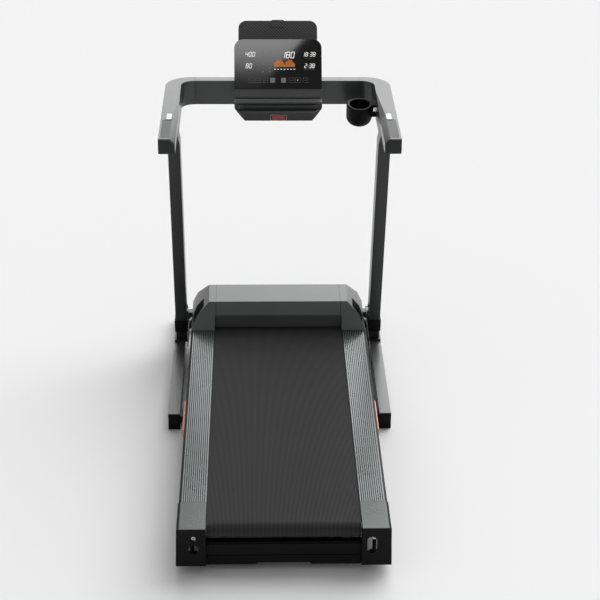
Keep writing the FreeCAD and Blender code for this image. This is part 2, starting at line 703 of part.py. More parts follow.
def cap_openings(side):
    """Left cap: a round hole for the adjusting bolt over a larger one; right cap: one upright slot."""
    y, length = rear(-1), "cap_wall + 2"
    if side < 0:
        x = f"-({half} - bolt_in)"
        return fuse(rod(x, y, "bolt_z", 10, length, "Y"), rod(x, y, 100, 17, length, "Y"))
    x = f"({half} - slot_in)"
    ends = [rod(x, y, z, "slot_radius", length, "Y") for z in ("slot_low", "slot_high")]
    middle = between(f"{x} - slot_radius", f"{x} + slot_radius", y, f"{y} + {length}", "slot_low",
                     "slot_high")
    return fuse(*ends, middle)


def end_cap(side):
    """Moulded end of the side rail: rear wall, flared outer wall and inner cheek."""
    low, high = spread(side, rail_in, f"{half} + cap_flare_top")
    top, ahead = "(deck_top - cap_plate)", f"{rear('end_length')} + 1"
    outer = prism("XZ_Plane", cap_flare(side, 0), "end_length", y=rear(0))
    inner = prism("XZ_Plane", cap_flare(side, "cap_wall"), "end_length - cap_wall + 1", y=rear("cap_wall"))
    cheek_low, cheek_high = spread(side, f"{rail_in} - 1", f"{rail_in} + cap_wall + 1")
    cheek = between(cheek_low, cheek_high, rear(34), ahead, "cap_low - 1", f"{top} + 1")
    lip = between(low, high, rear(0), rear(3), f"{top} - 1", "deck_top")
    reach = f"({beam_near} + axle_seat + seat_gap)"
    axle_low, _ = spread(side, f"({beam_near} - ledge_wide - 10)", reach)
    axle_slot = rod(axle_low, rear("rear_roller_y"), roller_z, "axle_radius + seat_gap",
                    f"{reach} - ({beam_near} - ledge_wide - 10)")
    return cut(fuse(cut(outer, inner, cheek), lip), axle_slot, cap_openings(side))


def belt_adjust_bolts():
    """Cap-head bolts behind the openings of the end caps; each tip meets the roller axle."""
    bolts = []
    for side in (-1, 1):
        x = f"{side} * ({half} - bolt_in)"
        tip = "rear_roller_y - axle_radius * 0.6"
        shank = rod(x, rear("cap_wall + 4"), "bolt_z", 3.5, f"({tip}) - cap_wall - 4", "Y")
        head = rod(x, rear("cap_wall + 1"), "bolt_z", 7, 8, "Y")
        socket = rod(x, rear("cap_wall"), "bolt_z", 3, 5, "Y")
        axle = rod(f"{x} - 12", rear("rear_roller_y"), roller_z, "axle_radius", 24)
        bolts.append(cut(fuse(head, shank), socket, axle))
    return group(*bolts)


def rear_crossmember():
    """Beam between the end caps: top lip, groove, upper face, ledge and a lower lip with a shallow notch."""
    face, groove, ledge = rear("rear_bar_y"), rear("rear_bar_y + 4"), rear("rear_bar_y + 10")
    back = rear("rear_bar_y + rear_bar_deep")
    points = [(groove, "rear_bar_low"), (groove, "rear_bar_mid - 2"), (ledge, "rear_bar_mid"),
              (ledge, "rear_bar_mid + 3"), (face, "rear_bar_mid + 4"), (face, "rear_bar_top - 8"),
              (groove, "rear_bar_top - 7"), (groove, "rear_bar_top - 3.5"), (face, "rear_bar_top - 3"),
              (face, "rear_bar_top - 2"), (rear("rear_bar_y + 2"), "rear_bar_top"), (back, "rear_bar_top"),
              (back, "rear_bar_low")]
    bar = prism("YZ_Plane", points, f"2 * {rail_in}", x=f"-{rail_in}")
    notch_points = [("-notch_half - 10", "rear_bar_low - 1"), ("notch_half + 10", "rear_bar_low - 1"),
                    ("notch_half", "rear_bar_low + 7"), ("-notch_half", "rear_bar_low + 7")]
    return cut(bar, prism("XZ_Plane", notch_points, 60, y=rear("rear_bar_y - 10")))


def rear_feet():
    feet = []
    for side in (-1, 1):
        x = f"{side} * ({beam_near} + beam_width / 2)"
        pad = rod(x, rear("foot_y"), 0, "foot_radius", 12, "Z")
        stem = rod(x, rear("foot_y"), 10, 7, "beam_low - 10", "Z")
        feet.append(fuse(pad, stem))
    return group(*feet)


def side_accents():
    strips = []
    for side in (-1, 1):
        y0, y1 = rear("accent_y"), rear("accent_y + accent_length")
        inner, outer = half, f"{half} + accent_out"
        points = [(inner, y0), (outer, f"{y0} + 14"), (outer, f"{y1} - 30"), (inner, y1)]
        points = [(f"{side} * ({x})", y) for x, y in points]
        strips.append(prism("XY_Plane", points, "accent_tall", z="accent_low"))
    return group(*strips)


# ---------------------------------------------------------------- hood and motor bay

def hood_core(shrink, extra_low=0):
    """Faceted block of the hood: side profile and cross profile intersected."""
    g = f"({shrink})"
    low = f"hood_low - {extra_low}"
    side_points = [(front(f"hood_rear_set + 40 - {g}"), low),
                   (front(f"hood_rear_set + 40 - {g}"), f"deck_top - 1.2 * {g}"),
                   (front(f"hood_rear_set - 0.4 * {g}"), f"deck_top - 1.2 * {g}"),
                   (front(f"hood_crease_set - 0.6 * {g}"), f"hood_top - {g}"),
                   (front(f"hood_front_set + 0.3 * {g}"), f"hood_top - 3 - {g}"),
                   (front(f"hood_nose_set + 14 + {g}"), f"hood_knee - 8 - 0.4 * {g}"),
                   (front(f"hood_nose_set + {g}"), "pivot_height + 20"),
                   (front(f"hood_nose_set + 7 + {g}"), f"hood_nose_low - {extra_low}"),
                   (front("pivot_set - 60"), low)]
    right = [(f"{half} - {g}", f"{low} - 20"), (f"{half} - {g}", f"deck_top - 0.2 * {g}"),
             (f"{half} - hood_knee_in - 0.8 * {g}", f"hood_knee - 0.6 * {g}"),
             (f"{half} - hood_top_in - 0.3 * {g}", f"hood_top + 2 - {g}")]
    left = [(f"-({x})", z) for x, z in reversed(right)]
    y0 = front("hood_rear_set")
    slab = prism("XZ_Plane", right + left, f"{front('hood_nose_set - 4')} - {y0}", y=y0)
    return overlap(prism("YZ_Plane", side_points, f"2 * {half} + 20", x=f"-{half} - 10"), slab)


def motor_hood():
    shell = cut(hood_core(0), hood_core("hood_wall", 30))
    wide, behind = f"({rail_in} - 2)", f"{front('hood_rear_set')} - 60"
    throat = between(f"-{wide}", wide, behind, front("throat_set"), "hood_low - 5", "hood_top + 20")
    window = between(f"-{wide}", wide, f"{front('throat_set')} - 1", front("throat_set - 40"), "hood_low - 5",
                     "throat_top")
    leg = f"({half} - skirt_wall - 2)"
    legs = between(f"-{leg}", leg, behind, f"{front('hood_rear_set')} + 20", "hood_low - 40", rail_under)
    holes = rod(f"-{half} - 5", pivot_y, pivot_z, "pin_radius + wide_gap", f"2 * {half} + 10")
    return cut(shell, throat, window, legs, holes)


def throat_panel():
    """Upright panel over the belt, just behind the hood's rear edge."""
    return between(f"-({rail_in} - 3)", f"{rail_in} - 3", front("throat_set - 4"), front("throat_set - 8"),
                   f"{belt_top} + 4", "throat_top - 1")


def hood_vents():
    """Louvre plates on the steep side facets of the hood."""
    points = [(front("hood_rear_set - 17"), "deck_top + 26"), (front("hood_rear_set - 17"), "deck_top + 34"),
              (front("hood_crease_set - 8"), "hood_top - 24"),
              (front("hood_crease_set - 74"), "hood_top - 24"),
              (front("hood_crease_set - 62"), "deck_top + 26")]
    window = prism("YZ_Plane", points, f"2 * {half} + 20", x=f"-{half} - 10")
    skin = cut(hood_core(-1), hood_core(0))
    return overlap(skin, window)


def motor_tray():
    """Floor of the motor bay with two saddles under the motor."""
    floor = between(f"-{beam_far}", beam_far, front("pivot_set + 30"), front("hood_nose_set + 22"),
                    "beam_low - tray_thick", "beam_low")
    saddles = []
    for x in ("motor_x + 20", "motor_x + motor_length - 40"):
        tall = "motor_height - tray_low - 14"
        saddles.append(block(x, front("motor_set + 30"), "tray_low + 1", 20, 60, tall))
    can = rod("motor_x - 1", front("motor_set"), "motor_height", "motor_radius", "motor_length + 2")
    return cut(fuse(floor, *saddles), can)


def drive_motor_can():
    y, z = front("motor_set"), "motor_height"
    outer = rod("motor_x", y, z, "motor_radius", "motor_length")
    cavity = rod("motor_x + 6", y, z, "motor_radius - 5", "motor_length - 12")
    bore = rod("motor_x - 1", y, z, "shaft_radius + run_gap", "motor_length + 2")
    return cut(outer, cavity, bore)


def motor_rotor():
    """Motor shaft with armature, flywheel and the small drive pulley."""
    y, z = front("motor_set"), "motor_height"
    start = f"-{pulley_x} - pulley_wide / 2"
    shaft = rod(start, y, z, "shaft_radius", f"motor_x + motor_length + 6 - ({start})")
    armature = rod("motor_x + 16", y, z, "motor_radius - 9", "motor_length - 34")
    wheel = rod("motor_x - flywheel_wide - 12", y, z, "flywheel_radius", "flywheel_wide")
    pulley = rod(start, y, z, "small_pulley", "pulley_wide")
    return fuse(shaft, armature, wheel, pulley)


def control_board():
    """Circuit board on standoffs with a finned heat sink."""
    y0 = front("motor_set + 40")
    plate = block(40, y0, "tray_low + tray_thick + 8", 190, 84, 2)
    spots = [(x, f"{y0} + {deep}") for x in (48, 222) for deep in (8, 76)]
    legs = [rod(x, y, "tray_low + tray_thick", 4, 9, "Z") for x, y in spots]
    sink = block(60, f"{y0} + 8", "tray_low + tray_thick + 10", 80, 40, 6)
    fins = [block(60 + 8 * i, f"{y0} + 8", "tray_low + tray_thick + 15", 2.5, 40, 22) for i in range(10)]
    capacitor = rod(180, f"{y0} + 30", "tray_low + tray_thick + 10", 14, 30, "Z")
    return fuse(plate, *legs, sink, *fins, capacitor)


def tangent_loop(y0, z0, r0, y1, z1, r1):
    """Face of an open belt's outline round two pulleys, in the plane across X."""
    run, rise = y1 - y0, z1 - z0
    distance = math.hypot(run, rise)
    slope, wrap = math.atan2(rise, run), math.acos((r0 - r1) / distance)

    def on(y, z, r, angle):
        return V(0, y + r * math.cos(angle), z + r * math.sin(angle))
    up, down = slope + wrap, slope - wrap
    big = Part.Arc(on(y0, z0, r0, up), on(y0, z0, r0, slope + math.pi), on(y0, z0, r0, down)).toShape()
    small = Part.Arc(on(y1, z1, r1, down), on(y1, z1, r1, slope), on(y1, z1, r1, up)).toShape()
    low = Part.LineSegment(on(y0, z0, r0, down), on(y1, z1, r1, down)).toShape()
    top = Part.LineSegment(on(y1, z1, r1, up), on(y0, z0, r0, up)).toShape()
    return Part.Face(Part.Wire([big, low, small, top]))


def drive_belt():
    """Ribbed belt from the motor pulley to the front roller."""
    y0, z0 = value(front("front_roller_set")), value(roller_z)
    y1, z1 = value(front("motor_set")), value("motor_height")
    big, small, thick, wide = (value(e) for e in ("pulley_radius + seat_gap", "small_pulley + seat_gap",
                                                  "drive_belt_thick", "pulley_wide - 1"))
    outer = tangent_loop(y0, z0, big + thick, y1, z1, small + thick).extrude(V(wide, 0, 0))
    inner = tangent_loop(y0, z0, big, y1, z1, small).extrude(V(wide, 0, 0))
    feature = fresh("Part::Feature", "DriveBelt")
    feature.Shape = outer.cut(inner)
    return place(feature, f"-{pulley_x} - (pulley_wide - 1) / 2")


# ---------------------------------------------------------------- console

tilt_sin, tilt_cos = "sin(tilt)", "cos(tilt)"


def tilted(points, thick, back):
    """Plate parallel to the glass: x across, y up the slope, its front face `back` behind the glass."""
    y = f"{front('glass_set')} + ({back}) * {tilt_sin} + ({thick}) * {tilt_sin}"
    z = f"glass_z - ({back}) * {tilt_cos} - ({thick}) * {tilt_cos}"
    return prism("XY_Plane", points, thick, y=y, z=z, axis=(1, 0, 0), angle="tilt")


def console_plate(width, low, high, radius, thick, back):
    plate = tilted(rectangle(f"-({width}) / 2", f"({width}) / 2", low, high), thick, back)
    if radius:
        for side in (-1, 1):
            round_corner(plate, f"{side} * ({width}) / 2", high, radius)
    return plate


def console_glass():
    return console_plate("glass_width", 0, "glass_tall", "glass_round", "glass_thick", 0)


def display_board():
    low = "(glass_tall - board_tall) / 2"
    return console_plate("board_width", low, f"{low} + board_tall", 0, 3, "glass_thick")


def console_back_shell():
    shell = console_plate("glass_width - 1", -34, "glass_tall - 0.5", "glass_round", "shell_thick",
                          "glass_thick")
    low = "(glass_tall - board_tall) / 2 - seat_gap"
    pocket = console_plate("board_width + 2 * seat_gap", low, f"{low} + board_tall + 2 * seat_gap", 0,
                           "3 + seat_gap + 1", "glass_thick - 1")
    return cut(shell, pocket)


def tablet_panel():
    top = "glass_tall + tablet_rise"
    panel = console_plate("tablet_width", f"{top} - tablet_tall", top, "tablet_round", "tablet_thick",
                          "tablet_back")
    clip = console_plate("clip_width", f"{top} - clip_tall", f"{top} + clip_rise", 6, "tablet_thick + 3",
                         "tablet_back - 3")
    return fuse(panel, clip)


def tablet_guides():
    """Two channels on the back of the console that hold the panel's edges."""
    low, shell_back = "glass_tall + tablet_rise - tablet_tall - 4", "glass_thick + shell_thick"
    channels = []
    for side in (-1, 1):
        start, end = spread(side, "tablet_width / 2 - 10", "tablet_width / 2 + 6")
        outer = tilted(rectangle(start, end, low, "glass_tall - 8"),
                       f"tablet_back + tablet_thick + move_gap + 3 - ({shell_back})", shell_back)
        slot_x, slot_end = spread(side, "tablet_width / 2 - 30", "tablet_width / 2 + move_gap")
        inner = tilted(rectangle(slot_x, slot_end, f"{low} + 3", "glass_tall"), "tablet_thick + 2 * move_gap",
                       "tablet_back - move_gap")
        channels.append(cut(outer, inner))
    return group(*channels)


def console_body():
    """Lower housing between the display and the handlebar's crossbar."""
    back_y = front(f"glass_set + 24 - (glass_thick + shell_thick) * {tilt_sin}")
    back_z = f"glass_z - 34.5 - (glass_thick + shell_thick) * {tilt_cos}"
    bar_y = front("arm_set_front + bar_deep")
    points = [(front("glass_set + 49"), "tray_top_z"), (front("glass_set + 49"), "glass_z - 36"),
              (front("glass_set + 24"), "glass_z - 34.5"), (back_y, back_z), (bar_y, back_z),
              (bar_y, "tray_low_z"), (front("tray_set - 39"), "tray_low_z"),
              (front("tray_set - 39"), "tray_top_z")]
    return prism("YZ_Plane", points, "2 * tray_half", x="-tray_half")


def console_tray():
    """Small parts tray under the display, its front corners clipped."""
    y0, y1 = front("tray_set"), front("tray_set - 39")
    points = [("-tray_half + 22", y0), ("tray_half - 22", y0), ("tray_half", f"{y0} + 24"), ("tray_half", y1),
              ("-tray_half", y1), ("-tray_half", f"{y0} + 24")]
    slab = prism("XY_Plane", points, "tray_top_z - tray_low_z", z="tray_low_z")
    dish = between("-tray_half + 34", "tray_half - 34", f"{y0} + 8", f"{y0} + 17", "tray_top_z - 6",
                   "tray_top_z + 1")
    return cut(slab, dish)


def console_chin():
    """Lower part of the console: faceted in plan, narrower at the bottom, with the safety key's socket."""
    y0, y1 = front("chin_rear_set"), front("arm_set_front + bar_deep")
    right = [("chin_rear_half", y0), ("chin_facet_half", f"{y0} + chin_facet_deep"),
             ("chin_half", f"{y0} + chin_side_deep"), ("chin_half", y1)]
    left = [(f"-({x})", y) for x, y in reversed(right)]
    slab = prism("XY_Plane", right + left, "tray_low_z - chin_low_z", z="chin_low_z")
    taper = [("-chin_low_half", "chin_low_z"), ("chin_low_half", "chin_low_z"), ("chin_half", "tray_low_z"),
             ("-chin_half", "tray_low_z")]
    body = overlap(slab, prism("XZ_Plane", taper, f"{y1} - {y0}", y=y0))
    gap = "move_gap"
    socket = block(f"-safety_width / 2 - {gap}", f"{y0} - 1", f"chin_low_z + 6 - {gap}",
                   f"safety_width + 2 * {gap}", "safety_deep - 2", f"safety_tall + 2 * {gap}")
    return cut(body, socket)


def safety_key():
    """Pull-out stop key in its socket."""
    return block("-safety_width / 2", f"{front('chin_rear_set')} - 5", "chin_low_z + 6", "safety_width",
                 "safety_deep", "safety_tall")


# ---------------------------------------------------------------- bottle holder

def cup_piece(radius, low, high, end_round):
    """Round-bottomed tumbler shape about the cup's own axis."""
    body = fresh("PartDesign::Body", "Cup")
    sketch = outline(body, "XZ_Plane", rectangle(0, radius, low, high))
    turn = body.newObject("PartDesign::Revolution", body.Name + "_Turn")
    turn.Profile = sketch
    turn.ReferenceAxis = (sketch, ["V_Axis"])
    turn.Angle = 360
    doc.recompute()
    level = value(low)
    rim = edge_names(turn.Shape, lambda e: e.Closed and abs(e.BoundBox.ZMax - level) < 0.01)
    rounded = body.newObject("PartDesign::Fillet", body.Name + "_Round")
    rounded.Base = (turn, rim)
    bind(rounded, "Radius", end_round)
    place(body, "cup_x", front("cup_set"), "cup_rim", (1, 0, 0), "cup_tilt")
    return body


def bottle_cup():
    outer = cup_piece("cup_radius", "-cup_tall", 0, "cup_round")
    inner = cup_piece("cup_radius - cup_wall", "-cup_tall + cup_wall", 1, "cup_round - cup_wall")
    return cut(outer, inner)


def bottle_bracket():
    """C-shaped bracket: upper and lower limb from the cup to the arm's inner face."""
    y0, y1 = front("cup_set + bracket_wide / 2"), front("cup_set - bracket_wide / 2")
    limbs = [between("cup_x + 20", arm_near, y0, y1, z, f"{z} + limb_thick")
             for z in ("cup_rim - limb_drop", "cup_rim - limb_drop - limb_apart")]
    web = between("cup_x + 20", f"{arm_near} - bracket_gap", y0, y1, "cup_rim - limb_drop - limb_apart",
                  "cup_rim - limb_drop + limb_thick")
    space = cup_piece("cup_radius", "-cup_tall", 30, "cup_round")
    return cut(fuse(*limbs, web), space)


# ---------------------------------------------------------------- assembly

for name, side in sides.items():
    node(base_rail(side), f"base_rail_{name}")
    node(upright(side), f"upright_{name}")
    node(handlebar_arm(side), f"handlebar_arm_{name}")
    node(rocker_key(side), f"rocker_key_{name}")
    node(foot_rail(side), f"foot_rail_{name}")
    node(end_cap(side), f"end_cap_{name}")

rail_caps = [rail_end_cap(side, outward, front(y)) for side in (-1, 1)
             for outward, y in ((1, "rail_cap"), (-1, "rail_set_rear"))]
node(group(*rail_caps), "rail_end_caps")

singles = [floor_pads, base_cross_members, upright_foot_plates, upright_boots, upright_bolts,
           handlebar_crossbar, arm_end_caps, grips, lift_shaft, lift_motor, power_inlet, power_switch,
           lift_arms, lift_cross_tube, deck_pivot_pins, deck_beams, deck_cross_members, running_board,
           deck_cushions, running_belt, roller_axles, foot_plates, belt_adjust_bolts, rear_crossmember,
           rear_feet, side_accents, motor_hood, throat_panel, hood_vents, motor_tray, drive_motor_can,
           motor_rotor, control_board, drive_belt, console_glass, display_board, console_back_shell,
           tablet_panel,
           tablet_guides, console_body, console_tray, console_chin, safety_key,
           bottle_cup, bottle_bracket]
for make in singles:
    node(make(), make.__name__)
node(roller(rear("rear_roller_y"), "move_gap", False), "rear_roller")
node(roller(front("front_roller_set"), "roller_over", True), "front_roller")

doc.recompute()

for item in doc.Objects:
    assert "Invalid" not in item.State and "Error" not in item.State, f"{item.Name}: {item.State}"
for label, item in nodes.items():
    assert not item.Shape.isNull() and item.Shape.isValid(), f"{label} has no valid shape"
    assert item.Shape.Solids, f"{label} has no solid"

os.makedirs("parts", exist_ok=True)
for label, item in nodes.items():
    item.Shape.exportStep(f"parts/{label}.step")
print(len(nodes), "sub-parts written")
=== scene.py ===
import bpy
import json
import math
from mathutils import Matrix, Vector

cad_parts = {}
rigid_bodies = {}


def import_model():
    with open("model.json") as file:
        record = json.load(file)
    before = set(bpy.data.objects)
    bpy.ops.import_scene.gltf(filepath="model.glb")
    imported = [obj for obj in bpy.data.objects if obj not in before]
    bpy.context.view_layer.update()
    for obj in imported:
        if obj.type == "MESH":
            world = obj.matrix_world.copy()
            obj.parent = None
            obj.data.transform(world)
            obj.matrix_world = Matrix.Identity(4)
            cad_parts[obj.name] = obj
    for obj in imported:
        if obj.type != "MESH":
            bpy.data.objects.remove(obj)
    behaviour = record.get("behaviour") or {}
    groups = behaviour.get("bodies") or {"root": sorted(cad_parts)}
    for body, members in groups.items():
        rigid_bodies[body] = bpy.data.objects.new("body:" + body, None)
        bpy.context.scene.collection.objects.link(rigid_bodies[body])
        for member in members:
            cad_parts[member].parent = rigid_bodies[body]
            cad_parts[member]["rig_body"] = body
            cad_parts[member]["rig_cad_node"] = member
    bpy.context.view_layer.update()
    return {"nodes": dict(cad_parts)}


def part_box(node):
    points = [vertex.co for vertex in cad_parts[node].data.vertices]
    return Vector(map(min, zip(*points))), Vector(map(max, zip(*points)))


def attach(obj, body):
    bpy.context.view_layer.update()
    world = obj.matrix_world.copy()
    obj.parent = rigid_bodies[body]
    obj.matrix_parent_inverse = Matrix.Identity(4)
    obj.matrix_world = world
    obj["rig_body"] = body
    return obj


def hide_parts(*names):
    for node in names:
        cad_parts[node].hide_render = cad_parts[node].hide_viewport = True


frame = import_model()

nodes = frame["nodes"]
scene = bpy.context.scene
materials = bpy.data.materials
mm = 0.001
print("frame loaded:", len(nodes), "nodes")


def deselectAll():
    if bpy.context.object and bpy.context.object.mode != "OBJECT":
        bpy.ops.object.mode_set(mode="OBJECT")
    bpy.ops.object.select_all(action="DESELECT")


def activate(obj):
    deselectAll()
    obj.select_set(True)
    bpy.context.view_layer.objects.active = obj
    return obj


def applyPlace(obj):
    activate(obj)
    bpy.ops.object.transform_apply(location=True, rotation=True, scale=True)
    return obj


def applyModifier(obj, kind, **values):
    activate(obj)
    modifier = obj.modifiers.new(kind.title(), kind)
    for key, setting in values.items():
        setattr(modifier, key, setting)
    bpy.ops.object.modifier_apply(modifier=modifier.name)
    return obj


def smoothByAngle(obj, degrees=35):
    activate(obj)
    bpy.ops.object.shade_smooth_by_angle(angle=math.radians(degrees))
    return obj


def setMaterial(obj, material):
    obj.data.materials.clear()
    obj.data.materials.append(material)
    return obj


def finishPiece(obj, finishName, body="base_frame"):
    applyPlace(obj)
    setMaterial(obj, materials[finishName])
    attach(obj, body)
    return obj


# ---- shared shader groups

def newGroup(name, inputs, outputs):
    group = bpy.data.node_groups.new(name, "ShaderNodeTree")
    for label, kind, default in inputs:
        socket = group.interface.new_socket(name=label, in_out="INPUT", socket_type=kind)
        socket.default_value = default
    for label, kind in outputs:
        group.interface.new_socket(name=label, in_out="OUTPUT", socket_type=kind)
    entry = group.nodes.new("NodeGroupInput")
    leave = group.nodes.new("NodeGroupOutput")
    return group, entry, leave


def addNode(tree, kind, **values):
    node = tree.nodes.new(kind)
    for key, setting in values.items():
        setattr(node, key, setting)
    return node


def math2(tree, operation, first, second):
    node = addNode(tree, "ShaderNodeMath", operation=operation)
    for index, source in enumerate((first, second)):
        if isinstance(source, (int, float)):
            node.inputs[index].default_value = source
        elif source is not None:
            tree.links.new(source, node.inputs[index])
    return node.outputs[0]


def mixColor(tree, factor, first, second):
    node = addNode(tree, "ShaderNodeMix", data_type="RGBA")
    for socket, source in ((node.inputs[0], factor), (node.inputs[6], first), (node.inputs[7], second)):
        if isinstance(source, (int, float)):
            socket.default_value = source
        elif isinstance(source, tuple):
            socket.default_value = source
        else:
            tree.links.new(source, socket)
    return node.outputs[2]


def buildEdgeWear():
    # brighter, slightly polished edges: a bevelled normal against the plain one, broken up by noise
    plan = {"samples": 4, "gain": 5.0, "patchScale": 35.0, "patchDetail": 4.0}
    tree, entry, leave = newGroup("edgeWear",
                                  [("Radius", "NodeSocketFloat", 0.002), ("Amount", "NodeSocketFloat", 0.5)],
                                  [("Mask", "NodeSocketFloat")])
    bevel = addNode(tree, "ShaderNodeBevel", samples=plan["samples"])
    tree.links.new(entry.outputs["Radius"], bevel.inputs["Radius"])
    geometry = addNode(tree, "ShaderNodeNewGeometry")
    dot = addNode(tree, "ShaderNodeVectorMath", operation="DOT_PRODUCT")
    tree.links.new(bevel.outputs[0], dot.inputs[0])
    tree.links.new(geometry.outputs["Normal"], dot.inputs[1])
    sharp = math2(tree, "SUBTRACT", 1.0, dot.outputs["Value"])
    sharp = math2(tree, "MULTIPLY", sharp, plan["gain"])
    coords = addNode(tree, "ShaderNodeTexCoord")
    noise = addNode(tree, "ShaderNodeTexNoise")
    noise.inputs["Scale"].default_value = plan["patchScale"]
    noise.inputs["Detail"].default_value = plan["patchDetail"]
    tree.links.new(coords.outputs["Object"], noise.inputs["Vector"])
    broken = math2(tree, "MULTIPLY", sharp, noise.outputs["Fac"])
    scaled = math2(tree, "MULTIPLY", broken, entry.outputs["Amount"])
    clamp = addNode(tree, "ShaderNodeClamp")
    tree.links.new(scaled, clamp.inputs["Value"])
    tree.links.new(clamp.outputs[0], leave.inputs["Mask"])
    return tree


def buildFineGrain():
    # moulded or sprayed texture as a height, with a soft large variation for colour and roughness
    plan = {"fineDetail": 2.0, "cloudDetail": 3.0}
    group, entry, leave = newGroup("fineGrain",
                                   [("Scale", "NodeSocketFloat", 900.0),
                                    ("Cloud Scale", "NodeSocketFloat", 9.0)],
                                   [("Height", "NodeSocketFloat"), ("Cloud", "NodeSocketFloat")])
    coords = addNode(group, "ShaderNodeTexCoord")
    fine = addNode(group, "ShaderNodeTexNoise")
    fine.inputs["Detail"].default_value = plan["fineDetail"]
    cloud = addNode(group, "ShaderNodeTexNoise")
    cloud.inputs["Detail"].default_value = plan["cloudDetail"]
    group.links.new(coords.outputs["Object"], fine.inputs["Vector"])
    group.links.new(coords.outputs["Object"], cloud.inputs["Vector"])
    group.links.new(entry.outputs["Scale"], fine.inputs["Scale"])
    group.links.new(entry.outputs["Cloud Scale"], cloud.inputs["Scale"])
    group.links.new(fine.outputs["Fac"], leave.inputs["Height"])
    group.links.new(cloud.outputs["Fac"], leave.inputs["Cloud"])
    return group


def buildRibs():
    # parallel ribs along one direction: 1 on a rib's crown, 0 in its groove
    edge = 0.08  # share of the pitch over which a rib's side falls away
    group, entry, leave = newGroup("parallelRibs",
                                   [("Direction", "NodeSocketVector", (1.0, 0.0, 0.0)),
                                    ("Pitch", "NodeSocketFloat", 0.006), ("Crown", "NodeSocketFloat", 0.6)],
                                   [("Rib", "NodeSocketFloat")])
    coords = addNode(group, "ShaderNodeTexCoord")
    dot = addNode(group, "ShaderNodeVectorMath", operation="DOT_PRODUCT")
    group.links.new(coords.outputs["Object"], dot.inputs[0])
    group.links.new(entry.outputs["Direction"], dot.inputs[1])
    steps = math2(group, "DIVIDE", dot.outputs["Value"], entry.outputs["Pitch"])
    part = math2(group, "FRACT", steps, None)
    away = math2(group, "ABSOLUTE", math2(group, "SUBTRACT", part, 0.5), None)
    width = math2(group, "MULTIPLY", entry.outputs["Crown"], 0.5)
    ramp = addNode(group, "ShaderNodeMapRange", interpolation_type="SMOOTHSTEP")
    group.links.new(away, ramp.inputs["Value"])
    group.links.new(math2(group, "SUBTRACT", width, edge), ramp.inputs["From Min"])
    group.links.new(math2(group, "ADD", width, edge), ramp.inputs["From Max"])
    ramp.inputs["To Min"].default_value = 1.0
    ramp.inputs["To Max"].default_value = 0.0
    group.links.new(ramp.outputs[0], leave.inputs["Rib"])
    return group


edgeWearGroup = buildEdgeWear()
fineGrainGroup = buildFineGrain()
ribsGroup = buildRibs()


def groupNode(tree, group, **values):
    node = addNode(tree, "ShaderNodeGroup", node_tree=group)
    for key, setting in values.items():
        node.inputs[key.replace("_", " ")].default_value = setting
    return node


def newMaterial(name):
    material = bpy.data.materials.new(name)
    material.use_nodes = True
    tree = material.node_tree
    shader = tree.nodes["Principled BSDF"]
    return material, tree, shader


bumpDistance = 0.5 * mm


def addBump(tree, shader, height, strength, distance=bumpDistance):
    bump = addNode(tree, "ShaderNodeBump")
    bump.inputs["Strength"].default_value = strength
    bump.inputs["Distance"].default_value = distance
    tree.links.new(height, bump.inputs["Height"])
    tree.links.new(bump.outputs[0], shader.inputs["Normal"])


def satinFinish(name, color, roughness, metallic=0.0, coat=0.0, coatRoughness=0.2, wear=0.25,
                grainDepth=0.04, cloudDepth=0.12, specular=0.5):
    # base for paint and moulded plastic: clouded colour, grain in the height, lighter edges
    material, tree, shader = newMaterial(name)
    plan = {"grainScale": 900.0, "edgeRadius": 1.5 * mm, "spread": 0.12, "bare": (0.35, 0.35, 0.36, 1.0)}
    grain = groupNode(tree, fineGrainGroup, Scale=plan["grainScale"])
    worn = groupNode(tree, edgeWearGroup, Radius=plan["edgeRadius"], Amount=wear)
    dark = tuple(c * (1 - cloudDepth) for c in color) + (1.0,)
    light = tuple(min(1.0, c * (1 + cloudDepth)) for c in color) + (1.0,)
    base = mixColor(tree, grain.outputs["Cloud"], dark, light)
    base = mixColor(tree, worn.outputs["Mask"], base, plan["bare"])
    tree.links.new(base, shader.inputs["Base Color"])
    spread = math2(tree, "MULTIPLY", grain.outputs["Cloud"], plan["spread"])
    tree.links.new(math2(tree, "ADD", spread, roughness - plan["spread"] / 2), shader.inputs["Roughness"])
    shader.inputs["Metallic"].default_value = metallic
    shader.inputs["Specular IOR Level"].default_value = specular
    shader.inputs["Coat Weight"].default_value = coat
    shader.inputs["Coat Roughness"].default_value = coatRoughness
    addBump(tree, shader, grain.outputs["Height"], grainDepth)
    return material


